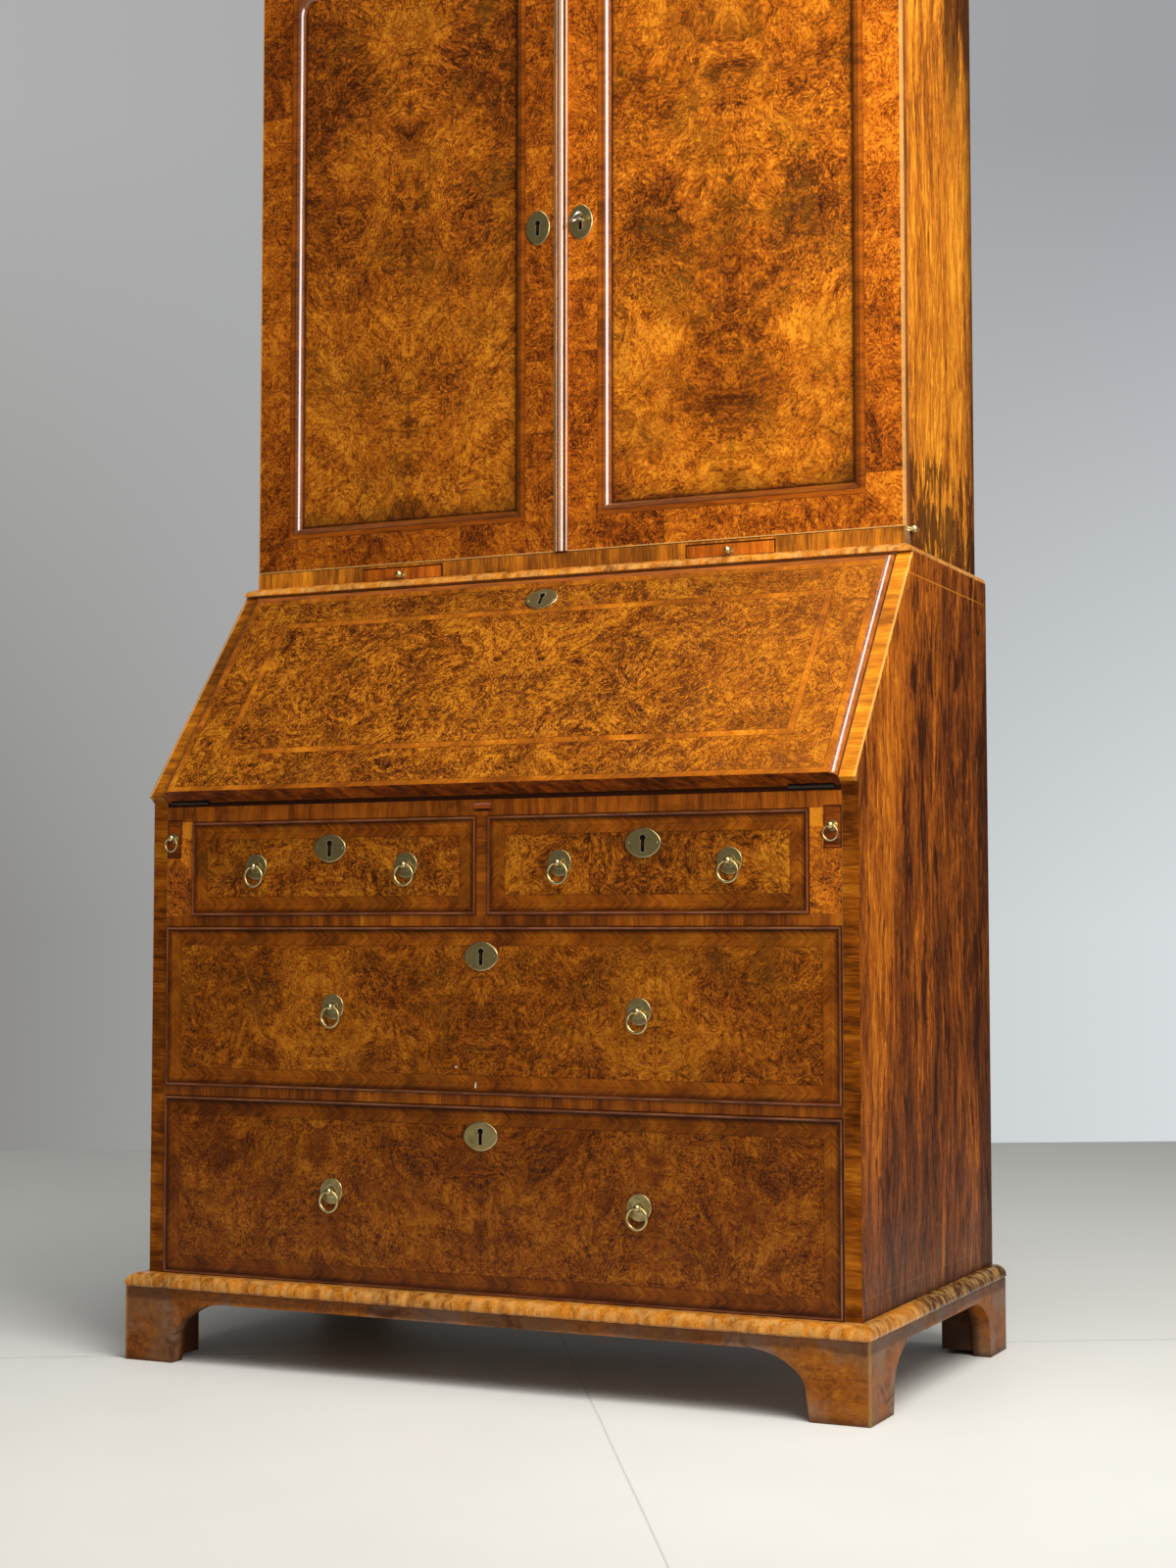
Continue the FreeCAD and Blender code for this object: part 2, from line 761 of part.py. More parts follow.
def bracket_base():
    """The bracket feet: front and side boards, rear boards and a glue block in each corner."""
    front_inner = bracket_front + s.bracket_thickness
    rear_inner = back - s.bracket_thickness
    side_inner = bracket_half - s.bracket_thickness
    feet = (s.bracket_foot_width, s.bracket_foot_width)
    pieces = [bracket_board("front_bracket", "XZ_Plane", (-bracket_half, bracket_half), feet, -front_inner)]
    feet = (s.bracket_side_foot_width - s.bracket_thickness, s.bracket_foot_width)
    for name, hand in HANDS:
        plane = to_side(hand, (side_inner, bracket_half))[0]
        side_ends = (front_inner, back)
        pieces.append(bracket_board("side_bracket_" + name, "YZ_Plane", side_ends, feet, plane))
        pieces.append(rear_bracket(name, hand))
        xs = to_side(hand, (side_inner - s.glue_block_width, side_inner))
        zs = (s.glue_block_lift, s.foot_height)
        for ys in (
            (front_inner, front_inner + s.glue_block_width),
            (rear_inner - s.glue_block_width, rear_inner),
        ):
            pieces.append(block("glue_block_" + name, xs, ys, zs))
    return group("bracket_base", pieces)


def waist_moulding():
    """The moulding that covers the joint between the bureau and the bookcase."""
    inner = bookcase_half - s.waist_inset
    corners = [(inner, bureau_level), (half_width, bureau_level)]
    corners += [(half_width, bureau_level + s.waist_fillet, s.waist_round)]
    shoulder = half_width - s.waist_round
    corners += [(shoulder, waist_top - s.waist_fillet), (shoulder, waist_top), (inner, waist_top)]
    front_y = door_front - half_width + bookcase_half
    return moulding("waist_moulding", half_width, front_y, corners, bureau_level)


def cornice():
    """The crowning moulding: a bead, a cove and an ovolo with fillets between them."""
    inner = bookcase_half - s.cornice_depth
    x = bookcase_half
    z = bookcase_top + s.cornice_fascia
    corners = [(inner, bookcase_lid), (x, bookcase_lid), (x, z)]
    x += s.cornice_step
    corners.append((x, z, s.cornice_bead_radius * HALF_ROUND_SHARE))
    z += s.cornice_bead_radius * 2
    corners.append((x, z))
    z += s.cornice_step
    corners.append((x, z, -s.cornice_cove_radius))
    x += s.cornice_cove_radius
    z += s.cornice_cove_radius
    corners.append((x, z))
    x += s.cornice_step
    corners.append((x, z))
    z += s.cornice_step
    corners.append((x, z, s.cornice_ovolo_radius))
    x += s.cornice_ovolo_radius
    z += s.cornice_ovolo_radius
    corners.append((x, z))
    x += s.cornice_step
    corners.append((x, z))
    z += s.cornice_step * 2
    corners += [(x, z), (inner, z)]
    return moulding("cornice", x, door_front - x + bookcase_half, corners, z)


# Behind the fall

def pigeonholes():
    """The open compartments behind the fall: ends, two shelves and the dividers between them."""
    top = bureau_level - s.bureau_top_thickness - s.pigeonhole_top_gap
    slope_y = front + (top - s.desk_height) * slope_cosine / slope_sine
    ys = (slope_y + s.pigeonhole_front_gap, back_front)
    shelf = s.desk_height + s.pigeonhole_shelf_height
    inner = inner_half - s.pigeonhole_board
    pieces = []
    for name, hand in HANDS:
        xs = to_side(hand, (inner, inner_half))
        pieces.append(block("pigeonhole_end_" + name, xs, ys, (s.desk_height, top)))
    for name, level in (("shelf", shelf), ("top", top - s.pigeonhole_board)):
        zs = (level, level + s.pigeonhole_board)
        pieces.append(block("pigeonhole_" + name, (-inner, inner), ys, zs))
    tiers = ((2, s.desk_height, shelf), (4, shelf + s.pigeonhole_board, top - s.pigeonhole_board))
    for count, low, high in tiers:
        for index in range(count):
            centre = inner * ((index + 1) * 2 / (count + 1) - 1)
            xs = (centre - s.pigeonhole_board / 2, centre + s.pigeonhole_board / 2)
            pieces.append(block("pigeonhole_divider", xs, ys, (low, high)))
    return group("pigeonholes", pieces)


# Bookcase carcase

def bookcase_side(label, hand):
    """A bookcase side, housed for the bottom and the shelves and rebated for the back."""
    xs = to_side(hand, (bookcase_inner, bookcase_half))
    body = new_body(label)
    sketch = sketch_on(body, "YZ_Plane", xs[0])
    rectangle(sketch, (door_plane, back), (waist_top, bookcase_top))
    pad(body, sketch, s.bookcase_side_thickness)
    inner_face = bookcase_inner if hand > 0 else -bookcase_inner
    rebate = sketch_on(body, "YZ_Plane", inner_face)
    zs = (waist_top - s.overrun, bookcase_top + s.overrun)
    rectangle(rebate, (bookcase_back_front, back + s.overrun), zs)
    pocket(body, rebate, s.bookcase_back_rebate, hand > 0)
    housings = sketch_on(body, "YZ_Plane", inner_face)
    end = bookcase_back_front + s.overrun
    rectangle(housings, (door_plane + s.housing_stop, end), (bottom_under, bottom_top))
    for level in shelf_levels:
        start = door_plane + s.shelf_setback + s.housing_stop
        rectangle(housings, (start, end), (level, level + s.shelf_thickness))
    pocket(body, housings, s.housing_depth, hand > 0)
    return body


def bookcase_shelves():
    start = door_plane + s.shelf_setback
    end = bookcase_back_front
    shelves = [
        housed_board("shelf", bookcase_inner, start, end, level, s.shelf_thickness, s.housing_depth)
        for level in shelf_levels
    ]
    return group("bookcase_shelves", shelves)


def bookcase_back():
    half = bookcase_inner + s.bookcase_back_rebate
    return block("bookcase_back", (-half, half), (bookcase_back_front, back), (waist_top, bookcase_top))


fixed_plate_range = (door_plane - s.door_hinge_plate_width, door_plane)
moving_plate_range = (door_back - s.door_hinge_plate_width, door_back)


def recess_hinge_plates(body, level, ys, upwards, hands):
    """Lets the door hinges' plates into a face at its outer ends."""
    recess = sketch_on(body, "XY_Plane", level)
    for hand in hands:
        xs = (bookcase_half - s.door_hinge_plate_length, bookcase_half + s.overrun)
        rectangle(recess, to_side(hand, xs), ys)
    pocket(body, recess, s.door_hinge_plate_thickness, upwards)


candle_runner_front = door_front + s.waist_inset


def bookcase_top_board():
    body = new_body("bookcase_top")
    sketch = sketch_on(body, "XY_Plane", bookcase_top)
    rectangle(sketch, (-bookcase_half, bookcase_half), (door_front, back))
    pad(body, sketch, s.bookcase_board_thickness)
    recess_hinge_plates(body, bookcase_top, fixed_plate_range, True, (-1, 1))
    return body


def candle_slide_range(hand, extra=0):
    half = s.candle_slide_width / 2 + extra
    return to_side(hand, (candle_slide_centre - half, candle_slide_centre + half))


def candle_rail():
    """The rail under the doors, with an opening for each candle slide and runners behind."""
    body = new_body("rail")
    sketch = sketch_on(body, "XZ_Plane", -door_plane)
    corners = [(-bookcase_half, waist_top)]
    for _, hand in HANDS:
        low, high = candle_slide_range(hand, s.slide_gap)
        ceiling = candle_top + s.slide_gap
        corners += [(low, waist_top), (low, ceiling), (high, ceiling), (high, waist_top)]
    corners += [(bookcase_half, waist_top), (bookcase_half, rail_top), (-bookcase_half, rail_top)]
    outline(sketch, corners)
    pad(body, sketch, s.door_thickness)
    recess_hinge_plates(body, rail_top, (fixed_plate_range[0], door_plane + s.overrun), False, (-1, 1))
    pieces = [body]
    ys = (candle_runner_front, candle_slide_rear + s.candle_runner_width)
    for _, hand in HANDS:
        low, high = candle_slide_range(hand, s.slide_gap)
        for xs in ((low - s.candle_runner_width, low), (high, high + s.candle_runner_width)):
            pieces.append(block("candle_runner", xs, ys, (bureau_level, bottom_under)))
    return group("candle_rail", pieces)


def candle_slide(label, hand):
    """A slide for a candlestick: a thin board behind a taller front edge."""
    body = new_body(label)
    sketch = sketch_on(body, "YZ_Plane", candle_slide_range(hand)[0])
    step = door_front + s.candle_slide_front
    board_top = candle_bottom + s.candle_slide_board
    rear = candle_slide_rear
    corners = [(door_front, candle_bottom), (rear, candle_bottom), (rear, board_top)]
    corners += [(step, board_top), (step, candle_top), (door_front, candle_top)]
    outline(sketch, corners)
    pad(body, sketch, s.candle_slide_width)
    return body


# Turned and shaped brass

def turned_knob(label, neck, ball, reach, steps):
    """A turned knob on a stepped foot; steps are (radius, height) from the face outwards."""
    body = new_body(label)
    sketch = sketch_on(body, "XY_Plane", 0)
    ball_start = square_root(ball * ball - neck * neck)
    corners = [(0, 0), (0, -(reach + ball), ball), (neck, ball_start - reach)]
    foot = []
    height = Size(0, "0")
    for radius, rise in steps:
        foot.append((radius, -height))
        height = height + rise
        foot.append((radius, -height))
    corners.append((neck, -height))
    corners += reversed(foot)
    outline(sketch, corners)
    revolve(body, sketch, "V_Axis")
    return body


def ring_pull(label, x, z):
    """A round plate with a boss, a post and the eye that holds the ring."""
    steps = [(s.pull_plate_radius, s.pull_plate_thickness), (s.pull_boss_radius, s.pull_boss_height)]
    knob = turned_knob("pull_post", s.pull_neck, s.pull_ball, s.pull_reach, steps)

    def plate_rim(box):
        on_face = same(box.YMin, -s.pull_plate_thickness) and same(box.YMax, box.YMin)
        return on_face and same(box.XLength / 2, s.pull_plate_radius)

    round_edges(knob, s.pull_plate_bevel, plate_rim)
    place(knob, x, front, z)
    radius = s.pull_ring_wire + s.ring_eye_clearance
    eye = rod("eye", radius, s.pull_ball * 2, x - s.pull_ball, front - s.pull_reach, z, "X")
    return cut(label, knob, eye)


def loper_knob(label, x, z):
    """The loper's small knob, pierced for its ring."""
    steps = [(s.loper_knob_flange, s.pull_plate_bevel)]
    knob = turned_knob("loper_knob_post", s.loper_knob_neck, s.pull_ball, s.loper_knob_reach, steps)
    place(knob, x, front, z)
    radius = s.loper_ring_wire + s.ring_eye_clearance
    eye = rod("eye", radius, s.pull_ball * 2, x - s.pull_ball, front - s.loper_knob_reach, z, "X")
    return cut(label, knob, eye)


def oval(long_half, short_half, end_radius):
    """The four corners and radii of an oval made of four arcs."""
    reach = long_half - end_radius
    squares = reach * reach + short_half * short_half - end_radius * end_radius
    flat = squares / ((short_half - end_radius) * 2)
    drop = flat - short_half
    share_x = reach / (flat - end_radius)
    share_z = drop / (flat - end_radius)
    x = reach + end_radius * share_x
    z = end_radius * share_z
    return [(x, -z, end_radius), (x, z, flat), (-x, z, end_radius), (-x, -z, flat)]


def keyhole(x=0, z=0):
    """A keyhole: a round hole with a slot below it."""
    half = s.keyhole_slot / 2
    drop = square_root(s.keyhole_radius * s.keyhole_radius - half * half)
    corners = [(-half, -s.keyhole_length), (half, -s.keyhole_length), (half, -drop, s.keyhole_radius)]
    corners += [(0, s.keyhole_radius, s.keyhole_radius), (-half, -drop)]
    return [(x + corner[0], z + corner[1]) + tuple(corner[2:]) for corner in corners]


def escutcheon(upright):
    """An oval plate with a rounded rim and a keyhole."""
    body = new_body("escutcheon")
    sketch = sketch_on(body, "XZ_Plane", 0)
    corners = oval(s.escutcheon_long, s.escutcheon_short, s.escutcheon_end_radius)
    if upright:
        corners = [(-corner[1], corner[0], corner[2]) for corner in corners]
    outline(sketch, corners)
    pad(body, sketch, s.escutcheon_thickness)
    round_edges(body, s.escutcheon_round, lambda box: same(box.YMax, -s.escutcheon_thickness))
    hole = sketch_on(body, "XZ_Plane", s.escutcheon_thickness)
    outline(hole, keyhole(Size(0, "0"), s.keyhole_rise))
    pocket(body, hole, s.escutcheon_thickness)
    return body


def pierce(body, x, z, depth, face):
    """Cuts a keyhole into a front, from its face towards the back."""
    hole = sketch_on(body, "XZ_Plane", -face)
    outline(hole, keyhole(x, z + s.keyhole_rise))
    pocket(body, hole, depth)


# Drawers

TAIL_SPACE_SHARE = 0.5


def tail_levels(height):
    """The middles of a drawer side's dovetails, spread over its height."""
    count = max(2, int(height.value / s.dovetail_pitch.value))
    return [height * ((index + TAIL_SPACE_SHARE) / count) for index in range(count)]


def tail(level, base):
    """One dovetail, from its narrow base to its wide end: (y, z) corners."""
    narrow = s.dovetail_width / 2
    wide = narrow + s.dovetail_flare
    end = base - s.dovetail_length
    return [(base, level + narrow), (end, level + wide), (end, level - wide), (base, level - narrow)]


def drawer_front(label, x, z, half, height):
    """A drawer front with a cock bead round its edge and sockets for the sides' dovetails."""
    body = new_body(label)
    bottom = s.drawer_seat
    top = height - s.drawer_gap
    board = sketch_on(body, "XZ_Plane", -s.drawer_front_thickness)
    rectangle(board, (-half, half), (bottom, top))
    pad(body, board, s.drawer_front_thickness)
    bead = sketch_on(body, "XZ_Plane", 0)
    rectangle(bead, (-half, half), (bottom, top))
    width = s.cock_bead_width
    rectangle(bead, (width - half, half - width), (bottom + width, top - width))
    pad(body, bead, s.cock_bead_projection)
    round_edges(body, s.cock_bead_round, lambda box: same(box.YMax, -s.cock_bead_projection))
    for end, along_normal in ((-half, True), (half, False)):
        sockets = sketch_on(body, "YZ_Plane", end)
        for level in tail_levels(top - s.drawer_side_drop - bottom):
            outline(sockets, tail(level + bottom, s.drawer_front_thickness))
        pocket(body, sockets, s.drawer_side_thickness, along_normal)
    lock = sketch_on(body, "XZ_Plane", -s.drawer_front_thickness)
    middle = height - s.escutcheon_drop
    lock_half = s.drawer_lock_width / 2
    lock_zs = (middle - s.drawer_lock_height / 2, middle + s.drawer_lock_height / 2)
    rectangle(lock, (-lock_half, lock_half), lock_zs)
    pocket(body, lock, s.drawer_lock_thickness, True)
    pierce(body, Size(0, "0"), middle, s.drawer_front_thickness - s.drawer_lock_thickness, Size(0, "0"))
    return place(body, x, front, z)


def drawer_side(label, x, z, left, height):
    """A drawer side with dovetails at its front end."""
    body = new_body(label)
    sketch = sketch_on(body, "YZ_Plane", left)
    bottom = s.drawer_seat
    top = height - s.drawer_gap - s.drawer_side_drop
    base = s.drawer_front_thickness
    corners = [(base, bottom), (drawer_length, bottom), (drawer_length, top), (base, top)]
    for level in reversed(tail_levels(top - bottom)):
        corners += tail(level + bottom, base)
    outline(sketch, corners)
    pad(body, sketch, s.drawer_side_thickness)
    return place(body, x, front, z)


def drawer_box(label, x, z, half, height):
    """A drawer's two sides, its back and its bottom."""
    side = s.drawer_side_thickness
    inner = half - side
    pieces = [
        drawer_side("drawer_side_left", x, z, -half, height),
        drawer_side("drawer_side_right", x, z, inner, height),
    ]
    floor = z + s.drawer_seat + s.drawer_bottom_rise
    bottom_zs = (floor, floor + s.drawer_bottom_thickness)
    rear = front + drawer_length
    xs = (x - inner, x + inner)
    pieces.append(block("drawer_bottom", xs, (front + s.drawer_front_thickness, rear), bottom_zs))
    back_zs = (bottom_zs[1], z + height - s.drawer_gap - s.drawer_side_drop - s.drawer_back_drop)
    pieces.append(block("drawer_back", xs, (rear - side, rear), back_zs))
    return group(label, pieces)


def drawer(name, xs, zs, pull_inset):
    """A drawer in its opening: the front, the box, the brass and the two rings."""
    x = (xs[0] + xs[1]) / 2
    z = zs[0]
    half = (xs[1] - xs[0]) / 2 - s.drawer_gap
    height = zs[1] - zs[0]
    pull_z = z + height / 2 + s.pull_rise
    lock_z = zs[1] - s.escutcheon_drop
    lock_y = front + s.drawer_front_thickness
    lock_xs = (x - s.drawer_lock_width / 2, x + s.drawer_lock_width / 2)
    lock_zs = (lock_z - s.drawer_lock_height / 2, lock_z + s.drawer_lock_height / 2)
    brass = [place(escutcheon(False), x, front, lock_z)]
    brass.append(block("drawer_lock", lock_xs, (lock_y - s.drawer_lock_thickness, lock_y), lock_zs))
    rings = []
    for side, hand in HANDS:
        pull_x = x + (half - pull_inset) * hand
        brass.append(ring_pull("drawer_pull", pull_x, pull_z))
        ring_z = pull_z - s.pull_ring_radius + s.ring_eye_lift
        ring_y = front - s.pull_reach
        ring = f"{name}_ring_{side}"
        rings.append(hoop(ring, s.pull_ring_radius, s.pull_ring_wire, pull_x, ring_y, ring_z))
    return [
        drawer_front(name + "_front", x, z, half, height),
        drawer_box(name + "_box", x, z, half, height),
        group(name + "_brass", brass),
    ] + rings


# Lopers

def loper(name, hand):
    """A pull-out support for the fall, with its knob and the knob's ring."""
    low = inner_half - s.loper_gap - s.loper_width
    xs = to_side(hand, (low, low + s.loper_width))
    x = (xs[0] + xs[1]) / 2
    z = loper_top - s.loper_knob_drop
    ys = (front, front + drawer_length - s.loper_back_gap)
    board = block("loper_" + name, xs, ys, (loper_bottom, loper_top))
    ring_z = z - s.loper_ring_radius + s.ring_eye_lift
    ring_y = front - s.loper_knob_reach
    ring = hoop("loper_ring_" + name, s.loper_ring_radius, s.loper_ring_wire, x, ring_y, ring_z)
    return [board, loper_knob("loper_knob_" + name, x, z), ring]


# Fall

fall_half = inner_half - s.fall_gap


def on_slope(thing):
    """Puts a piece drawn flat on to the closed fall's slope."""
    return place(thing, 0, front, s.desk_height, s.slope_angle)


def fall_board():
    """The sloping flap, moulded on three edges and let in for its lock and hinges."""
    body = new_body("fall_board")
    sketch = sketch_on(body, "XY_Plane", 0)
    rectangle(sketch, (-fall_half, fall_half), (s.fall_end_gap, fall_length))
    pad(body, sketch, s.fall_thickness)
    edge = sketch_on(body, "XY_Plane", s.fall_thickness)
    outer = fall_half + s.overrun
    inner = fall_half - s.fall_edge_width
    bottom = -s.overrun
    corners = [(inner, bottom), (outer, bottom), (outer, fall_length + s.overrun)]
    corners += [(-outer, fall_length + s.overrun), (-outer, bottom), (-inner, bottom)]
    corners += [(-inner, fall_length - s.fall_edge_width), (inner, fall_length - s.fall_edge_width)]
    outline(edge, corners)
    pocket(body, edge, s.fall_edge_step)
    level = s.fall_thickness - s.fall_edge_step

    def outer_edge(box):
        flat = same(box.ZMin, level) and same(box.ZMax, level)
        at_side = same(box.XMin, box.XMax) and same(abs(box.XMin), fall_half)
        return flat and (at_side or same(box.YMin, fall_length))

    round_edges(body, s.fall_edge_radius, outer_edge)
    recess_fall_hinges(body, Size(0, "0"), Size(0, "0"), True)
    lock = sketch_on(body, "XY_Plane", 0)
    middle = fall_length - s.fall_escutcheon_drop
    xs = (-s.fall_escutcheon_offset - s.fall_lock_width / 2, s.fall_lock_width / 2 - s.fall_escutcheon_offset)
    rectangle(lock, xs, (middle - s.fall_lock_height / 2, middle + s.fall_lock_height / 2))
    pocket(body, lock, s.fall_lock_thickness, True)
    hole = sketch_on(body, "XY_Plane", s.fall_thickness)
    outline(hole, keyhole(-s.fall_escutcheon_offset, middle + s.keyhole_rise))
    pocket(body, hole, s.fall_thickness - s.fall_lock_thickness)
    slot = sketch_on(body, "XZ_Plane", -s.fall_end_gap)
    slot_half = s.fall_slot_width / 2
    rectangle(slot, (-slot_half, slot_half), (s.fall_slot_rise, s.fall_slot_rise + s.fall_slot_height))
    pocket(body, slot, s.fall_slot_depth)
    return on_slope(body)


def knuckle_ranges(hand):
    """The ranges along a fall hinge of its first, middle and last knuckles."""
    low, high = fall_hinge_range(hand)
    third = s.fall_hinge_length / 3
    gap = s.fall_hinge_knuckle_gap
    return (low, low + third), (low + third + gap, high - third - gap), (high - third, high)


def fixed_fall_hinge(hand):
    """A leaf let into the writing board, its middle knuckle and the pin."""
    low, high = fall_hinge_range(hand)
    middle = knuckle_ranges(hand)[1]
    zs = (s.desk_height - s.fall_hinge_leaf_thickness, s.desk_height)
    leaf = block("leaf", (low, high), (front + s.fall_hinge_recess, front + s.fall_hinge_leaf_width), zs)
    tongue = block("tongue", middle, (front, front + s.fall_hinge_recess), zs)
    knuckle = rod("knuckle", s.fall_hinge_barrel, middle[1] - middle[0], middle[0], front, s.desk_height, "X")
    pin = rod("pin", s.fall_hinge_pin, high - low, low, front, s.desk_height, "X")
    return fused("fall_hinge_fixed", [leaf, tongue, knuckle, pin])


def moving_fall_hinge(hand):
    """A leaf let into the fall and its two outer knuckles, drawn flat."""
    low, high = fall_hinge_range(hand)
    zs = (0, s.fall_hinge_leaf_thickness)
    pieces = [block("leaf", (low, high), (s.fall_hinge_recess, s.fall_hinge_leaf_width), zs)]
    for start, end in knuckle_ranges(hand)[::2]:
        pieces.append(block("tongue", (start, end), (0, s.fall_hinge_recess), zs))
        pieces.append(rod("knuckle", s.fall_hinge_barrel, end - start, start, 0, 0, "X"))
    whole = fused("knuckles", pieces)
    bore_radius = s.fall_hinge_pin + s.hinge_clearance
    bore = rod("bore", bore_radius, high - low + s.overrun * 2, low - s.overrun, 0, 0, "X")
    return cut("fall_hinge_moving", whole, bore)


def fall_brass():
    """The fall's escutcheon, its lock and the moving halves of its hinges."""
    middle = fall_length - s.fall_escutcheon_drop
    plate = escutcheon(False)
    plate.Placement = FreeCAD.Placement(vector(0, 0, 0), FreeCAD.Rotation(vector(1, 0, 0), -90))
    turned = [(-s.fall_escutcheon_offset, "x"), (middle, "y"), (s.fall_thickness, "z")]
    for size, name in turned:
        bind(plate, "Placement.Base." + name, size)
    x = -s.fall_escutcheon_offset
    xs = (x - s.fall_lock_width / 2, x + s.fall_lock_width / 2)
    ys = (middle - s.fall_lock_height / 2, middle + s.fall_lock_height / 2)
    lock = block("fall_lock", xs, ys, (0, s.fall_lock_thickness))
    pieces = [plate, lock] + [moving_fall_hinge(hand) for _, hand in HANDS]
    return on_slope(group("fall_brass", pieces))


# Doors

def arched(cx, grow):
    """The outline of a shouldered arch; grow is how far outside the opening it runs."""
    half = door_panel_half + grow
    shoulder = s.door_shoulder_radius + grow
    arch = door_arch_radius
    left, right = cx - half, cx + half
    cusp_left, cusp_right = cx - arch, cx + arch
    level = door_spring + shoulder
    return [
        (left, door_sill - grow),
        (right, door_sill - grow),
        (right, door_spring, shoulder),
        (cusp_right, level, arch),
        (cx, level + arch, arch),
        (cusp_left, level, shoulder),
        (left, door_spring),
    ]


def round_headed(cx, grow):
    """The outline of the panel: upright sides under half a circle."""
    half = door_panel_half + grow
    return [
        (cx - half, door_sill - grow),
        (cx + half, door_sill - grow),
        (cx + half, door_arch_level, half),
        (cx, door_arch_level + half, half),
        (cx - half, door_arch_level),
    ]


def door_range(hand):
    near = s.door_meeting_gap / 2 * hand - s.door_meeting_x
    return (near, bookcase_half) if hand > 0 else (-bookcase_half, near)


astragal_left = door_range(1)[0] + s.astragal_offset


def door_lock_middle(hand):
    """The place of a door's lock: across and up."""
    beside_astragal = astragal_left + s.astragal_width + s.door_escutcheon_gap + s.escutcheon_short
    x = beside_astragal if hand > 0 else -s.door_escutcheon_left
    return x, door_bottom + s.door_escutcheon_height


def door_frame(label, hand):
    """A door frame with a shouldered arch, moulded towards the panel."""
    xs = door_range(hand)
    cx = door_panel_centre * hand
    body = new_body(label)
    sketch = sketch_on(body, "XZ_Plane", -door_back)
    rectangle(sketch, xs, (door_bottom, door_top))
    outline(sketch, arched(cx, Size(0, "0")))
    pad(body, sketch, door_back - door_front)
    low, high = xs[0].value + s.overrun.value, xs[1].value - s.overrun.value

    def moulded_edge(box):
        inside = box.ZMin > door_bottom.value + s.overrun.value
        inside = inside and box.ZMax < door_top.value - s.overrun.value
        across = low < box.XMin and box.XMax < high
        return same(box.YMax, door_front) and inside and across

    round_edges(body, s.door_moulding_radius, moulded_edge)
    rebate = sketch_on(body, "XZ_Plane", -door_back)
    outline(rebate, round_headed(cx, s.door_panel_tongue))
    pocket(body, rebate, door_back - door_front - s.door_panel_recess, True)
    for level, upwards in ((door_bottom, True), (door_top, False)):
        recess_hinge_plates(body, level, (moving_plate_range[0], door_back + s.overrun), upwards, (hand,))
    x, z = door_lock_middle(hand)
    lock = sketch_on(body, "XZ_Plane", -door_back)
    half = s.door_lock_width / 2
    rectangle(lock, (x - half, x + half), (z - s.door_lock_height / 2, z + s.door_lock_height / 2))
    pocket(body, lock, s.door_lock_thickness, True)
    pierce(body, x, z, door_back - door_front - s.door_lock_thickness, door_front)
    return body


def door_panel(label, hand):
    """A round-headed panel with a bead behind it that holds it in the frame."""
    cx = door_panel_centre * hand
    body = new_body(label)
    sketch = sketch_on(body, "XZ_Plane", -door_back)
    outline(sketch, round_headed(cx, s.door_panel_tongue))
    pad(body, sketch, door_back - door_front - s.door_panel_recess)
    hollow = sketch_on(body, "XZ_Plane", -door_back)
    outline(hollow, round_headed(cx, Size(0, "0")))
    pocket(body, hollow, s.door_panel_bead, True)
    return body


def pivot(label, hand, face, side, moving):
    """One half of a door's pin hinge: a plate, half a ball, and the pin or the hole for it."""
    thickness = s.door_hinge_plate_thickness
    zs = (face, face + thickness) if side > 0 else (face - thickness, face)
    x = (bookcase_half + s.door_hinge_offset) * hand
    ys = moving_plate_range if moving else fixed_plate_range
    plate_xs = to_side(hand, (bookcase_half - s.door_hinge_plate_length, bookcase_half))
    neck_xs = to_side(hand, (bookcase_half, bookcase_half + s.door_hinge_offset))
    neck_ys = (door_plane - s.door_hinge_ball, ys[1])
    flat = face - (s.door_bottom_gap - s.door_hinge_ball_gap) / 2 * side
    ball = document.addObject("Part::Sphere", "half_ball")
    bind(ball, "Radius", s.door_hinge_ball)
    ball.Angle1, ball.Angle2 = (0, 90) if side > 0 else (-90, 0)
    place(ball, x, door_plane, flat)
    pieces = [block("plate", plate_xs, ys, zs), block("neck", neck_xs, neck_ys, zs), ball]
    length = s.door_hinge_pin_length
    if moving:
        length = length + s.door_hinge_ball_gap
        start = flat - s.overrun if side > 0 else flat - length
        bore_radius = s.door_hinge_pin + s.hinge_clearance
        bore = rod("bore", bore_radius, length + s.overrun, x, door_plane, start)
        return cut(label, fused("pivot", pieces), bore)
    root = s.door_hinge_pin
    start = flat - length if side > 0 else flat - root
    pieces.append(rod("pin", s.door_hinge_pin, length + root, x, door_plane, start))
    return fused(label, pieces)


def door_brass(label, hand):
    """A door's escutcheon, its lock and the moving halves of its pin hinges."""
    x, z = door_lock_middle(hand)
    key_z = z + s.keyhole_rise
    half = s.door_lock_width / 2
    ys = (door_back - s.door_lock_thickness, door_back)
    zs = (z - s.door_lock_height / 2, z + s.door_lock_height / 2)
    case = block("lock_case", (x - half, x + half), ys, zs)
    wall = s.lock_wall
    cavity_depth = s.door_lock_thickness - wall * 2
    cavity = rod("cavity", s.lock_cavity_radius, cavity_depth, x, ys[0] + wall, key_z, "Y")
    hole = rod("lock_hole", s.keyhole_radius, wall + s.overrun, x, ys[0] - s.overrun, key_z, "Y")
    inside = fused("lock_inside", [cavity, hole])
    return group(label, [
        place(escutcheon(True), x, door_front, z),
        cut("door_lock", case, inside),
        pivot("lower_pivot", hand, door_bottom, 1, True),
        pivot("upper_pivot", hand, door_top, -1, True),
    ])


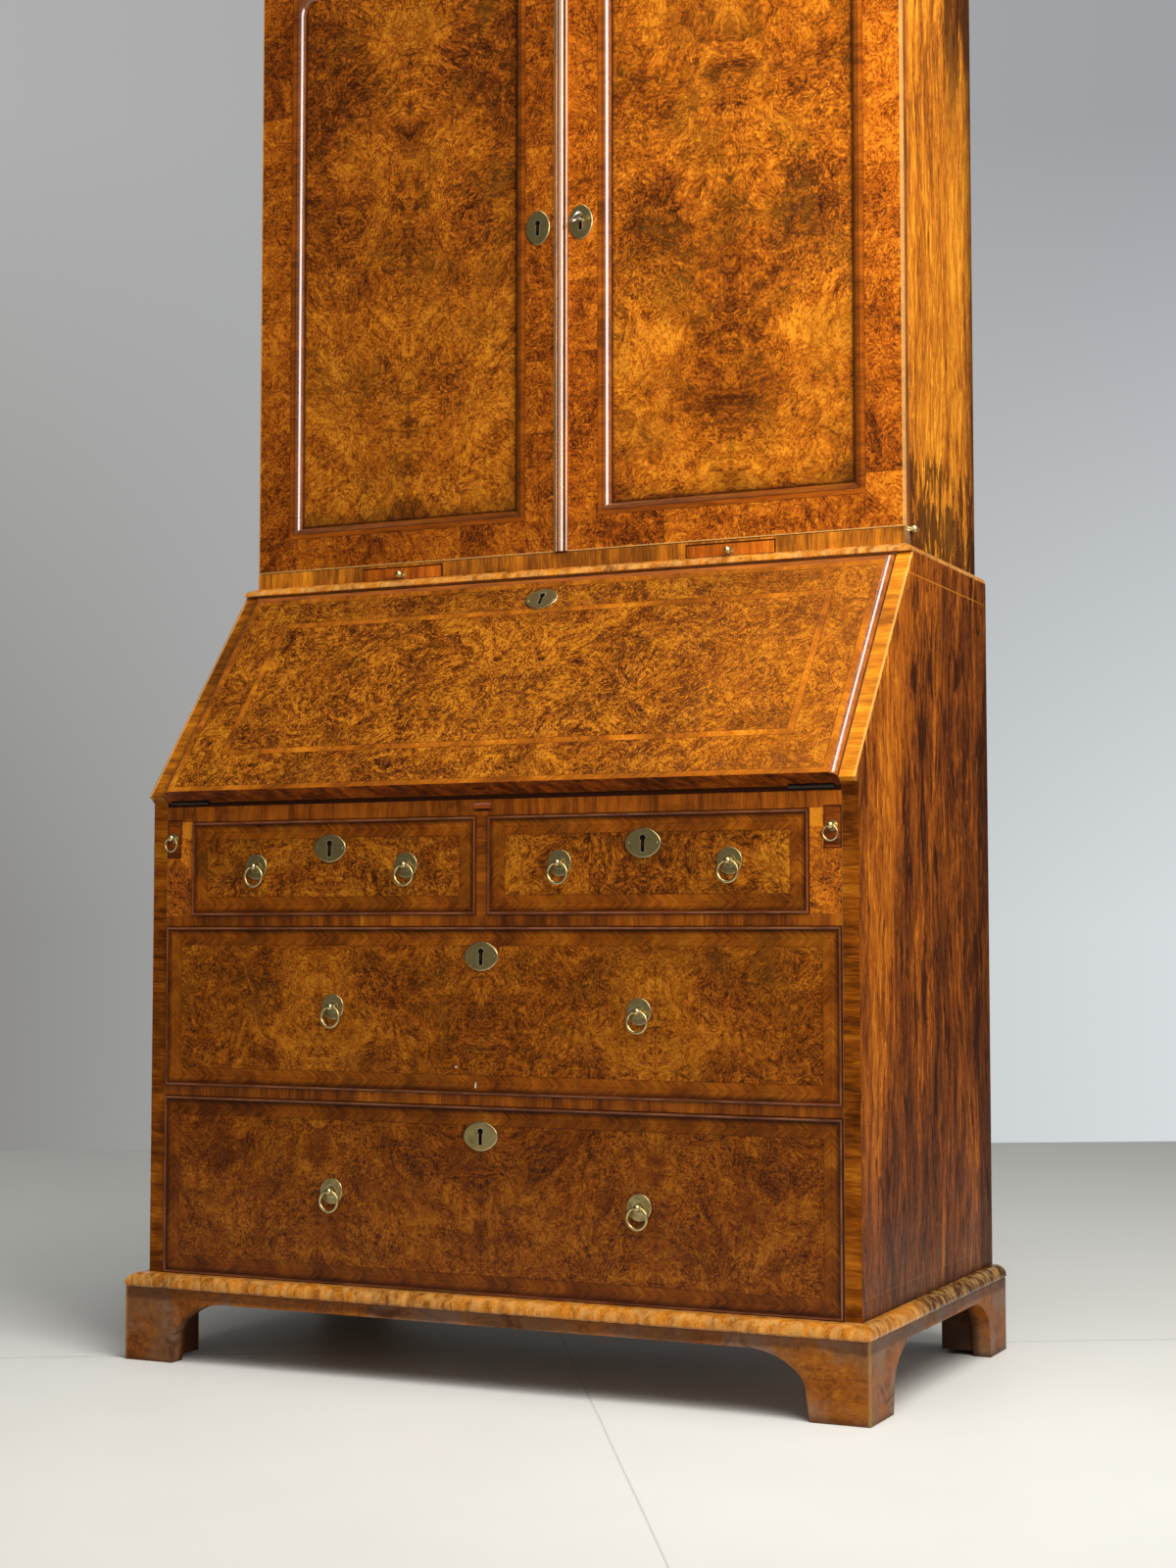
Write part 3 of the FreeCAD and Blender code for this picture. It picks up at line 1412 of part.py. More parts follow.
def door_astragal():
    """The moulding on the right door's meeting edge: a broad bead between two narrow ones."""
    body = new_body("door_astragal")
    sketch = sketch_on(body, "XY_Plane", door_bottom)
    left = astragal_left
    base = door_front - s.astragal_projection + s.astragal_middle_bead / 2
    corners = [(left, door_front), (left + s.astragal_width, door_front)]
    right_bead = s.astragal_width - s.astragal_left_bead - s.astragal_middle_bead - s.astragal_quirk * 2
    x = left + s.astragal_width
    for width, gap in (
        (right_bead, s.astragal_quirk),
        (s.astragal_middle_bead, s.astragal_quirk),
        (s.astragal_left_bead, None),
    ):
        corners.append((x, base, -width / 2 * HALF_ROUND_SHARE))
        x -= width
        corners.append((x, base))
        if gap is not None:
            corners.append((x, base + s.astragal_left_bead / 2))
            x -= gap
            corners.append((x, base + s.astragal_left_bead / 2))
    outline(sketch, corners)
    pad(body, sketch, door_top - door_bottom)
    return body


def door_key():
    """The key in the right door's lock, its bow turned out of the upright."""
    bow = new_body("bow")
    sketch = sketch_on(bow, "YZ_Plane", s.key_bow_width / -2)
    middle = s.key_bow_short - s.key_reach
    for shrink in (Size(0, "0"), s.key_bow_width):
        ring = oval(s.key_bow_long - shrink, s.key_bow_short - shrink, s.key_bow_end - shrink)
        outline(sketch, [(middle - corner[1], corner[0], corner[2]) for corner in ring])
    pad(bow, sketch, s.key_bow_width)
    round_edges(bow, s.key_bow_round, lambda box: same(box.XMin, box.XMax))
    stem_start = middle + s.key_bow_short - s.key_bow_width / 2
    lock_front = s.door_thickness - s.door_back_gap - s.door_lock_thickness
    stem_end = lock_front + s.lock_wall * 2 + s.key_bit_length
    collar_start = stem_start + s.key_collar_length
    bit_half = s.key_bit_thickness / 2
    bit_ys = (lock_front + s.lock_wall * 2, stem_end)
    key = fused("door_key", [
        bow,
        rod("stem", s.key_radius, stem_end - stem_start, 0, stem_start, 0, "Y"),
        rod("collar", s.key_collar_radius, s.key_collar_length, 0, collar_start, 0, "Y"),
        block("bit", (-bit_half, bit_half), bit_ys, (-s.key_bit_height, 0)),
    ])
    x, z = door_lock_middle(1)
    return place(key, x, door_front, z + s.keyhole_rise, s.key_turn, (0, 1, 0))


def candle_knob(label, hand):
    body = turned_knob(label, s.candle_knob_neck, s.candle_knob_ball, s.candle_knob_length,
                       [(s.candle_knob_ball, s.pull_plate_bevel)])
    return place(body, candle_slide_centre * hand, door_front, candle_bottom + s.candle_knob_height)


def case_hinges():
    """The fixed halves of every hinge: four door pivots and two fall hinges."""
    pieces = []
    for _, hand in HANDS:
        pieces.append(pivot("rail_pivot", hand, rail_top, -1, False))
        pieces.append(pivot("top_pivot", hand, bookcase_top, 1, False))
        pieces.append(fixed_fall_hinge(hand))
    return group("case_hinges", pieces)


# The whole piece

nodes = [
    bureau_side("bureau_side_left", -1),
    bureau_side("bureau_side_right", 1),
    dustboards(),
    desk_board(),
    drawer_partitions(),
    bureau_back(),
    bureau_top(),
    base_moulding(),
    bracket_base(),
    waist_moulding(),
    pigeonholes(),
    bookcase_side("bookcase_side_left", -1),
    bookcase_side("bookcase_side_right", 1),
    housed_board("bookcase_bottom", bookcase_inner, door_plane, bookcase_back_front, bottom_under,
                 s.bookcase_board_thickness, s.housing_depth),
    bookcase_top_board(),
    bookcase_back(),
    bookcase_shelves(),
    candle_rail(),
    cornice(),
    case_hinges(),
    fall_board(),
    fall_brass(),
    door_astragal(),
    door_key(),
]
for name, hand in HANDS:
    nodes += [door_frame(f"door_{name}_frame", hand), door_panel(f"door_{name}_panel", hand)]
    nodes += [door_brass(f"door_{name}_brass", hand)]
    nodes += [candle_slide("candle_slide_" + name, hand), candle_knob("candle_knob_" + name, hand)]
    nodes += loper(name, hand)
short_half = s.divider_thickness / 2
short_end = loper_space[0] - s.loper_cheek_thickness
short_zs = (short_floor, desk_under)
nodes += drawer("short_drawer_left", (-short_end, -short_half), short_zs, s.short_pull_inset)
nodes += drawer("short_drawer_right", (short_half, short_end), short_zs, s.short_pull_inset)
case_xs = (-inner_half, inner_half)
nodes += drawer("upper_drawer", case_xs, (upper_floor, upper_top), s.long_pull_inset)
nodes += drawer("lower_drawer", case_xs, (drawer_floor, lower_top), s.long_pull_inset)

document.recompute()
for item in document.Objects:
    if "Invalid" in item.State or "Error" in item.State:
        raise RuntimeError(f"{item.Label} did not build: {item.State}")
os.makedirs("parts", exist_ok=True)
for node in nodes:
    if node.Shape.isNull() or not node.Shape.isValid():
        raise RuntimeError(f"{node.Label} has no valid shape")
    node.Shape.exportStep(f"parts/{node.Label}.step")
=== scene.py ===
import json
import math
import bpy
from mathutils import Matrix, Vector


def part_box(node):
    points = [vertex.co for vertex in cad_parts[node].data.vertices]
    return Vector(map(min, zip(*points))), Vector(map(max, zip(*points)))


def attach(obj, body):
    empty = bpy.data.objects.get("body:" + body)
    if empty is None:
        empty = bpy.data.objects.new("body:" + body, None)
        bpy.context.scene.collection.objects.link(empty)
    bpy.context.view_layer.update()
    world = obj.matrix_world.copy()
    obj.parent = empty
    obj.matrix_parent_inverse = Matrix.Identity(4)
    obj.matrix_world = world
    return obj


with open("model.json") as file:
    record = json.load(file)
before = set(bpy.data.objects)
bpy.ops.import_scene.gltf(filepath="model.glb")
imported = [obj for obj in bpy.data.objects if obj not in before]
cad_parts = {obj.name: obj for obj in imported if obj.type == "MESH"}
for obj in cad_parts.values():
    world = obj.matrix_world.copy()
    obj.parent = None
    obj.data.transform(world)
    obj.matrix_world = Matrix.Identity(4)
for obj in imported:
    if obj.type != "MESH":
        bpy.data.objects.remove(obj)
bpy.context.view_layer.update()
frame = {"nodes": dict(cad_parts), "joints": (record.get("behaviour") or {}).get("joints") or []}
nodes = frame["nodes"]


# Writing materials as sums

class Graph:
    """The node tree of a new material or world, with one short call for each kind of node."""

    def __init__(self, name, kind="materials", coordinates="Object"):
        self.owner = getattr(bpy.data, kind).new(name)
        self.owner.use_nodes = True
        self.tree = self.owner.node_tree
        self.tree.nodes.clear()
        self.place = Signal(self, self.add("ShaderNodeTexCoord").outputs[coordinates])
        self.x, self.y, self.z = self.split(self.place)

    def add(self, kind, **settings):
        node = self.tree.nodes.new(kind)
        for name, value in settings.items():
            setattr(node, name, value)
        return node

    def feed(self, socket, value):
        if isinstance(value, Signal):
            self.tree.links.new(value.socket, socket)
        elif isinstance(value, (tuple, list)) and len(value) == 3 and len(socket.default_value) == 4:
            socket.default_value = (*value, 1)
        else:
            socket.default_value = value

    def math(self, operation, a, b=0.0):
        node = self.add("ShaderNodeMath", operation=operation)
        for socket, value in zip(node.inputs, (a, b)):
            self.feed(socket, value)
        return Signal(self, node.outputs[0])

    def split(self, vector):
        node = self.add("ShaderNodeSeparateXYZ")
        self.feed(node.inputs[0], vector)
        return [Signal(self, socket) for socket in node.outputs]

    def join(self, x, y, z):
        node = self.add("ShaderNodeCombineXYZ")
        for socket, value in zip(node.inputs, (x, y, z)):
            self.feed(socket, value)
        return Signal(self, node.outputs[0])

    def scaled(self, vector, scale, shift=(0, 0, 0)):
        """A vector times a scale for each axis, moved by a shift."""
        node = self.add("ShaderNodeVectorMath", operation="MULTIPLY_ADD")
        self.feed(node.inputs[0], vector)
        node.inputs[1].default_value = scale
        node.inputs[2].default_value = shift
        return Signal(self, node.outputs[0])

    def moved(self, vector, way, amount):
        """A vector pushed along a coloured noise by an amount in metres."""
        centred = self.add("ShaderNodeVectorMath", operation="MULTIPLY_ADD")
        self.feed(centred.inputs[0], way)
        centred.inputs[1].default_value = (amount * 2,) * 3
        centred.inputs[2].default_value = (-amount,) * 3
        node = self.add("ShaderNodeVectorMath", operation="ADD")
        self.feed(node.inputs[0], vector)
        self.tree.links.new(centred.outputs[0], node.inputs[1])
        return Signal(self, node.outputs[0])

    def length(self, vector):
        node = self.add("ShaderNodeVectorMath", operation="LENGTH")
        self.feed(node.inputs[0], vector)
        return Signal(self, node.outputs["Value"])

    def noise(self, vector, scale, detail=4.0, roughness=0.55, distortion=0.0, colour=False):
        node = self.add("ShaderNodeTexNoise", noise_dimensions="3D")
        self.feed(node.inputs["Vector"], vector)
        node.inputs["Scale"].default_value = scale
        node.inputs["Detail"].default_value = detail
        node.inputs["Roughness"].default_value = roughness
        node.inputs["Distortion"].default_value = distortion
        return Signal(self, node.outputs["Color" if colour else "Fac"])

    def cells(self, vector, scale):
        """The distance to the nearest of many scattered points."""
        node = self.add("ShaderNodeTexVoronoi", feature="F1")
        self.feed(node.inputs["Vector"], vector)
        node.inputs["Scale"].default_value = scale
        return Signal(self, node.outputs["Distance"])

    def chance(self, value, seed=0.0):
        """A number from 0 to 1 that is the same for the same whole number."""
        node = self.add("ShaderNodeTexWhiteNoise", noise_dimensions="2D")
        self.feed(node.inputs["Vector"], self.join(value, seed, 0.0))
        return Signal(self, node.outputs["Value"])

    def step(self, value, low, high, bottom=0.0, top=1.0):
        """Rises smoothly from bottom to top while the value goes from low to high."""
        node = self.add("ShaderNodeMapRange", interpolation_type="SMOOTHSTEP")
        for socket, number in zip(node.inputs, (value, low, high, bottom, top)):
            self.feed(socket, number)
        return Signal(self, node.outputs[0])

    def ramp(self, value, stops):
        """A colour read off a row of (position, colour) stops."""
        node = self.add("ShaderNodeValToRGB")
        self.feed(node.inputs[0], value)
        elements = node.color_ramp.elements
        while len(elements) < len(stops):
            elements.new(0.5)
        for element, (position, colour) in zip(elements, stops):
            element.position = position
            element.color = (*colour, 1)
        return Signal(self, node.outputs[0])

    def mix(self, share, a, b):
        node = self.add("ShaderNodeMix", data_type="RGBA", clamp_factor=True)
        self.feed(node.inputs["Factor"], share)
        self.feed(node.inputs[6], a)
        self.feed(node.inputs[7], b)
        return Signal(self, node.outputs[2])

    def bump(self, height, strength, distance):
        node = self.add("ShaderNodeBump")
        node.inputs["Strength"].default_value = strength
        node.inputs["Distance"].default_value = distance
        self.feed(node.inputs["Height"], height)
        return Signal(self, node.outputs[0])

    def finish(self, colour, roughness, normal, metallic=0.0, coat=0.0, coat_roughness=0.1, specular=0.5):
        """Ends a material with its shader, and returns it."""
        shader = self.add("ShaderNodeBsdfPrincipled")
        self.feed(shader.inputs["Base Color"], colour)
        self.feed(shader.inputs["Roughness"], roughness)
        shader.inputs["Metallic"].default_value = metallic
        self.feed(shader.inputs["Coat Weight"], coat)
        shader.inputs["Coat IOR"].default_value = 2.0
        shader.inputs["Coat Roughness"].default_value = coat_roughness
        shader.inputs["Specular IOR Level"].default_value = specular
        self.feed(shader.inputs["Normal"], normal)
        output = self.add("ShaderNodeOutputMaterial")
        self.tree.links.new(shader.outputs[0], output.inputs[0])
        return self.owner


class Signal:
    """A number or vector that flows through a graph; it adds and multiplies like a number."""

    def __init__(self, graph, socket):
        self.graph = graph
        self.socket = socket

    def __add__(self, other):
        return self.graph.math("ADD", self, other)

    __radd__ = __add__

    def __sub__(self, other):
        return self.graph.math("SUBTRACT", self, other)

    def __rsub__(self, other):
        return self.graph.math("SUBTRACT", other, self)

    def __mul__(self, other):
        return self.graph.math("MULTIPLY", self, other)

    __rmul__ = __mul__

    def __truediv__(self, other):
        return self.graph.math("DIVIDE", self, other)

    def __abs__(self):
        return self.graph.math("ABSOLUTE", self)

    def least(self, other):
        return self.graph.math("MINIMUM", self, other)

    def most(self, other):
        return self.graph.math("MAXIMUM", self, other)

    def whole(self):
        return self.graph.math("FLOOR", self)

    def folded(self, length):
        """Runs to and fro between 0 and the length, as veneer leaves are matched."""
        return self.graph.math("PINGPONG", self, length)


# Walnut's colours, and surfaces as (colour, height, tone)

DARK = (0.040, 0.0085, 0.0012)
BROWN = (0.155, 0.036, 0.0030)
AMBER = (0.40, 0.100, 0.0050)
GOLD = (0.74, 0.265, 0.015)
PALE = (0.80, 0.46, 0.14)
OLIVE = (0.185, 0.078, 0.005)
RUSSET = (0.165, 0.028, 0.003)


def shade(colour, share):
    """A colour made lighter or darker by a share."""
    return tuple(min(1.0, part * share) for part in colour)


def palette(g, tone, light, red):
    """Walnut's colours from dark to gold, read by a tone."""
    tint = (1.0, red, red)
    stops = [(0.10, DARK), (0.36, BROWN), (0.60, AMBER), (0.90, GOLD)]
    return g.ramp(tone, [
        (at, tuple(part * share for part, share in zip(shade(colour, light), tint))) for at, colour in stops
    ])


def keep(g, share, one, other):
    """Blends two surfaces by the share of the second."""
    colour = g.mix(share, one[0], other[0])
    height = one[1] * (1.0 - share) + other[1] * share
    tone = one[2] * (1.0 - share) + other[2] * share
    return colour, height, tone


def darkened(g, surface, share):
    """Darkens a surface where the share nears 1."""
    colour, height, tone = surface
    return g.mix(share, colour, shade(DARK, 0.7)), height - share * 0.4, tone - share * 0.3


def stained(g, surface, share, stain):
    """Lays a stain over a surface where the share nears 1."""
    return g.mix(share, surface[0], stain), surface[1], surface[2]


def line_at(g, value, at, half):
    """1 on a thin line where the value passes a level, 0 away from it."""
    return g.step(abs(value - at), half * 1.5, half * 0.5)


def burl(g, p, seed, light=1.0, size=1.0, red=1.0, contrast=1.0, cloudy=0.75):
    """Burr veneer: clouds, dark curls that gather in patches, gold flecks and clusters of eyes."""
    p = g.scaled(p, (1, 1, 1), (seed * 3.1, seed * 1.7, seed * 2.3))
    drift = g.noise(p, 9 / size, 3, 0.5, colour=True)
    swirled = g.moved(p, drift, 0.034 * size)
    clouds = g.noise(swirled, 9 / size, 4, 0.6, 0.5)
    figure = g.noise(swirled, 27 / size, 4, 0.62, 2.4)
    curl = g.noise(swirled, 84 / size, 4, 0.62, 3.4)
    gathered = g.step(g.noise(swirled, 14 / size, 3, 0.6), 0.42, 0.62)
    hairs = 1.0 - abs(g.noise(swirled, 46 / size, 4, 0.64, 3.0) * 2.0 - 1.0)
    hairs = g.step(hairs, 0.92, 1.0) * (gathered * 0.85 + 0.15)
    flecks = 1.0 - abs(g.noise(swirled, 70 / size, 3, 0.6, 3.6) * 2.0 - 1.0)
    flecks = g.step(flecks, 0.90, 1.0) * (1.0 - gathered * 0.5)
    veins = 1.0 - abs(g.noise(swirled, 17 / size, 4, 0.62, 2.2) * 2.0 - 1.0)
    veins = g.step(veins, 0.965, 1.0)
    spots = g.step(g.cells(swirled, 240 / size), 0.34, 0.10)
    cluster = g.step(g.noise(swirled, 24 / size, 2, 0.5), 0.52, 0.64)
    eyes = spots * cluster
    fibre = g.noise(swirled, 430 / size, 3, 0.65)
    tone = (clouds - 0.5) * cloudy + (figure - 0.5) * 0.75 + (curl - 0.5) * 0.90 + (fibre - 0.5) * 0.65
    tone = 0.570 + (tone + flecks * 0.10 - hairs * 0.34 - veins * 0.18 - eyes * 0.26) * contrast
    return palette(g, tone, light, red), figure * 0.5 + fibre * 0.35 - eyes - hairs * 0.6, tone


def straight(g, p, seed, along, light=1.0, contrast=1.0, red=1.0):
    """Plain sawn or cross-banded walnut: long streaks and fine lines along one axis."""
    p = g.scaled(p, (1, 1, 1), (seed * 1.3, seed * 2.9, seed * 0.7))
    stretch = [1.0, 1.0, 1.0]
    stretch["xyz".index(along)] = 0.08
    p = g.moved(p, g.noise(p, 9, 2, 0.5, colour=True), 0.008)
    streak = g.noise(g.scaled(p, tuple(share * 75 for share in stretch)), 1, 4, 0.6, 0.25)
    line = g.noise(g.scaled(p, tuple(share * 480 for share in stretch)), 1, 3, 0.6)
    patch = g.noise(p, 12, 3, 0.5)
    tone = 0.48 + ((streak - 0.5) * 0.95 + (line - 0.5) * 0.60 + (patch - 0.5) * 0.55) * contrast
    return palette(g, tone, light, red), line * 0.7 + streak * 0.3, tone


def banded(g, seed, run, segment, along, light=1.0, red=1.0, spread=0.16, contrast=0.75):
    """Cross-banding: lengths of wood laid end to end along a run, each of its own tone."""
    lengths = run / segment + seed * 0.37
    base = straight(g, g.place, seed, along, light, contrast, red)
    tone = base[2] + (g.chance(lengths.whole(), seed) - 0.5) * spread
    joint = g.step(lengths.folded(1.0), 0.012, 0.004)
    smudge = g.step(g.noise(g.scaled(g.place, (11, 11, 22), (seed, 0, 0)), 1, 4, 0.65), 0.56, 0.74)
    surface = palette(g, tone, light, red), base[1], tone
    return darkened(g, surface, (smudge * 0.50).most(joint * 0.35))


def plain(g, along, light=1.0, plank=None):
    """Plain oak of the insides, sawn along one axis, if wanted in upright planks of a width."""
    stretch = [1.0, 1.0, 1.0]
    stretch["xyz".index(along)] = 0.05
    p = g.moved(g.place, g.noise(g.place, 6, 2, colour=True), 0.012)
    if plank is not None:
        number = (g.x / plank + 0.5).whole()
        p = g.join(g.x + g.chance(number, 3.0) * 5.0, g.y, g.z + g.chance(number, 8.0) * 3.0)
    streak = g.noise(g.scaled(p, tuple(share * 70 for share in stretch)), 1, 4, 0.6, 0.3)
    line = g.noise(g.scaled(p, tuple(share * 500 for share in stretch)), 1, 3, 0.6)
    stain = g.noise(g.place, 5, 4, 0.6)
    tone = 0.5 + (streak - 0.5) * 0.8 + (line - 0.5) * 0.6 + (stain - 0.5) * 0.5
    if plank is not None:
        joint = g.step((g.x / plank + 0.5).folded(0.5), 0.012, 0.006)
        tone = tone + (g.chance(number, 1.0) - 0.5) * 0.30 - joint * 0.6
    colour = g.ramp(tone, [
        (0.05, shade((0.045, 0.022, 0.010), light)),
        (0.22, shade((0.125, 0.058, 0.022), light)),
        (0.50, shade((0.29, 0.150, 0.056), light)),
        (0.90, shade((0.47, 0.285, 0.12), light)),
    ])
    return colour, line, tone


def streaked(g, seed, light, dark, red=1.0):
    """Side veneer: ragged upright streaks from gold to nearly black, deeper where dark nears 1."""
    p = g.scaled(g.place, (1, 1, 1), (seed, seed * 2.0, 0))
    p = g.moved(p, g.noise(g.scaled(p, (5, 5, 2.6)), 1, 3, 0.55, colour=True), 0.040)
    p = g.moved(p, g.noise(g.scaled(p, (60, 60, 22)), 1, 4, 0.65, colour=True), 0.0070)
    broad = g.noise(g.scaled(p, (15, 15, 2.2)), 1, 4, 0.62, 0.4)
    streak = g.noise(g.scaled(p, (75, 75, 7.0)), 1, 6, 0.72, 0.5)
    line = g.noise(g.scaled(p, (420, 420, 20)), 1, 4, 0.65)
    ragged = g.noise(g.scaled(p, (38, 38, 6.5), (3, 0, 7)), 1, 7, 0.76, 1.2)
    black = g.step(ragged, 0.50, 0.40) * g.step(dark, 0.0, 1.0, 0.45, 1.0)
    tone = 0.60 + (broad - 0.5) * 0.95 + (streak - 0.5) * 1.15 + (line - 0.5) * 1.20
    # Painted light: the dark leaf is painted paler from the desk up to the fall's top
    tone = tone - black * 0.32 - dark * 0.24 * g.step(g.z, DESK, FALL_TOP, 1.0, 0.55)
    return palette(g, tone, light, red), line * 0.6 + streak * 0.4, tone


def polished(g, surface, rough=0.32, depth=0.0005, coat=0.04, specular=0.12):
    """French polish over wood: a thin coat, a little uneven and rubbed in patches."""
    colour, height, tone = surface
    rub = g.noise(g.place, 7, 4, 0.6)
    scratch = g.noise(g.scaled(g.place, (40, 40, 900)), 1, 2, 0.5)
    dents = g.noise(g.place, 60, 3, 0.5)
    roughness = rough + (rub - 0.5) * 0.24 + (scratch - 0.5) * 0.06 + (0.5 - tone) * 0.10
    normal = g.bump(height + dents * 0.8, 0.4, depth)
    return g.finish(colour, roughness, normal, coat=coat, coat_roughness=0.13, specular=specular)


# Where a pattern lies on its board

# Half the width of a crisp border between two woods
CRISP = 0.0002


def edge_distance(g, low, high):
    """How far a point of a front lies inside its rectangle: across, up and the lesser of both."""
    across = (g.x - low.x).least(high.x - g.x)
    up = (g.z - low.z).least(high.z - g.z)
    return across, up, across.least(up)


def behind_front(g, low):
    """0 on a board's front edge and 1 behind it."""
    return g.step(g.y, low.y + 0.001, low.y + 0.003)


def feathered(g, across, up, middle, seed, light, red):
    """Two slanted strips laid head to head, as feather banding runs round a front."""
    sideways = g.step(across - up, 0.0, CRISP)
    along = g.x * sideways + g.z * (1.0 - sideways)
    depth = across.least(up)
    slant = along + abs(depth - middle) * 1.1
    p = g.join(slant, depth, sideways)
    lines = g.noise(g.scaled(p, (900, 60, 5), (seed, 0, 0)), 1, 3, 0.6)
    bands = g.noise(g.scaled(p, (210, 30, 5), (seed, 3, 0)), 1, 3, 0.6)
    clouds = g.noise(g.place, 16, 4, 0.62)
    tone = 0.52 + (lines - 0.5) * 0.50 + (bands - 0.5) * 0.60 + (clouds - 0.5) * 0.95
    return palette(g, tone, light, red), lines, tone


def leaf_place(g, folded, up, out=0.0):
    """Places on a matched leaf, nudged a little so that the halves aren't exact mirrors."""
    drift = g.noise(g.place, 5, 3, 0.55, colour=True)
    return g.moved(g.join(folded, out, up), drift, 0.016)


def mellowed(g, surface, light, olive, russet):
    """Old polish: broad olive and russet patches that run across the leaves."""
    greener = g.step(g.noise(g.place, 13, 5, 0.66), 0.47, 0.66)
    redder = g.step(g.noise(g.scaled(g.place, (1, 1, 1), (4, 9, 2)), 12, 5, 0.66), 0.48, 0.68)
    surface = stained(g, surface, greener * olive, shade(OLIVE, light))
    return stained(g, surface, redder * russet, shade(RUSSET, light))


def dress(names, material):
    """Gives CAD nodes a finish in place of their plain one."""
    for name in names:
        node = nodes[name]
        for index in range(len(node.data.materials)):
            node.data.materials[index] = material
        if not node.data.materials:
            node.data.materials.append(material)


def clad(name, make, *values, **options):
    """Gives one CAD node the finish that a function makes for it."""
    dress([name], make(name, *values, **options))


def placed(name, data):
    """Puts a mesh, a lamp or a camera into the scene."""
    thing = bpy.data.objects.new(name, data)
    bpy.context.scene.collection.objects.link(thing)
    return thing


# The case

FALL = next(joint for joint in frame["joints"] if joint["name"] == "fall_swing")
FALL_FOOT = Vector(FALL["pos_m"])
SLOPE = math.radians(180 - FALL["range_deg"][1])
FRONT = FALL_FOOT.y
DESK = FALL_FOOT.z
FALL_THICKNESS = 0.023
FALL_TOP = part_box("fall_board")[1].z
FALL_LENGTH = (FALL_TOP - DESK - FALL_THICKNESS * math.cos(SLOPE)) / math.sin(SLOPE)

# The fall's seam and escutcheon lie a little to the left
FALL_MIDDLE = -0.006


def on_fall(g):
    """Places on the closed fall: along its slope, and out from its inner face."""
    y = g.y - FALL_FOOT.y
    z = g.z - FALL_FOOT.z
    return y * math.cos(SLOPE) + z * math.sin(SLOPE), z * math.cos(SLOPE) - y * math.sin(SLOPE)


# The dark knots of a case side: how far back and how high each lies, its half width and half height
SIDE_KNOTS = (
    (0.215, 0.885, 0.016, 0.022),
    (0.245, 0.815, 0.020, 0.036),
    (0.300, 0.655, 0.012, 0.026),
)


def bureau_side(name, seed):
    """A case side: a golden and a dark leaf of streaked veneer, thin inlays, banded front edges."""
    low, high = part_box(name)
    g = Graph(name + "_veneer")
    face = abs(g.x)
    inner, outer = sorted((abs(low.x), abs(high.x)))
    wear = g.noise(g.place, 14, 4, 0.62)
    wander = (g.noise(g.scaled(g.place, (6, 6, 2.5)), 1, 4, 0.6) - 0.5) * 0.14
    lean = (g.z - DESK) * 0.20
    leaf = g.step(g.y + wander - lean, FRONT + 0.120, FRONT + 0.190)
    margin = g.step(g.y + wander * 0.5, FRONT + 0.045, FRONT + 0.010) * 0.35
    lower = g.step(g.z + wear * 0.12 + wander, low.z + 0.36, low.z + 0.16) * 0.75
    side = streaked(g, seed, 0.96, leaf.most(margin).most(lower), 0.98)
    ragged = (g.noise(g.scaled(g.place, (120, 120, 50)), 1, 4, 0.65) - 0.5) * 1.6
    for back, level, wide, tall in SIDE_KNOTS:
        ring = g.join((g.y - FRONT - back) / wide, (g.z - level) / tall, 0.0)
        side = darkened(g, side, g.step(g.length(ring) + ragged, 1.25, 0.55) * 0.85)
    inlay_half, inlay_drop, inlay_rise = 0.0009, 0.030, 0.042
    inlay = line_at(g, g.z, high.z - inlay_drop, inlay_half)
    inlay = inlay.most(line_at(g, g.z, low.z + inlay_rise, inlay_half))
    inlay = inlay * g.step(g.z, low.z + 0.05, low.z + 0.5, 0.15, 0.6)
    side = stained(g, side, inlay, shade(GOLD, 0.8))
    worn = g.step(g.z + wear * 0.22, low.z + 0.27, low.z + 0.08)
    side = stained(g, side, worn * 0.42, (0.125, 0.058, 0.030))
    scrapes = g.step(g.noise(g.scaled(g.place, (150, 150, 22), (3, 1, 0)), 1, 3, 0.6), 0.58, 0.70)
    side = stained(g, side, scrapes * worn * 0.45, (0.36, 0.22, 0.12))
    side = darkened(g, side, g.step(g.z + wear * 0.03, low.z + 0.047, low.z + 0.022) * 0.85)
    side = darkened(g, side, g.step(g.y + wear * 0.05, high.y - 0.06, high.y + 0.02) * 0.6)
    stile = banded(g, seed + 4, g.z, 0.17, "x", 0.68, spread=0.20, contrast=1.1)
    stile = darkened(g, stile, g.step(g.noise(g.place, 17, 4, 0.65), 0.50, 0.66) * 0.5)
    strip = banded(g, seed + 9, g.z, 0.10, "x", 1.28, red=1.25, spread=0.35)
    # Painted highlight: a pale line along the strip's outer arris
    strip = stained(g, strip, line_at(g, face, outer - 0.0018, 0.0016) * 0.5, PALE)
    edge = keep(g, g.step(g.z, DESK + 0.003, DESK + 0.006), stile, strip)
    surface = keep(g, g.step(face, outer - 0.0010, outer - 0.0004), edge, side)
    surface = keep(g, g.step(face, inner + 0.0010, inner + 0.0003), surface, plain(g, "z", 0.7))
    return polished(g, surface, 0.38, coat=0.0, specular=0.05)


def fronted_board(name, seed, run, segment, along, light, inside="x", inside_light=0.75, red=1.0, gap=0.0):
    """A board with a cross-banded front edge, with painted shadow round its rim where a width for it is
    given, and plain behind.
    """
    low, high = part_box(name)
    g = Graph(name + "_wood")
    axis = {"x": g.x, "z": g.z}[run]
    face = banded(g, seed, axis, segment, along, light, red)
    if gap:
        _, _, depth = edge_distance(g, low, high)
        # Painted shadow of the slits round the board
        face = darkened(g, face, g.step(depth, gap, gap * 0.4))
    surface = keep(g, behind_front(g, low), face, plain(g, inside, inside_light))
    return polished(g, surface, 0.36)


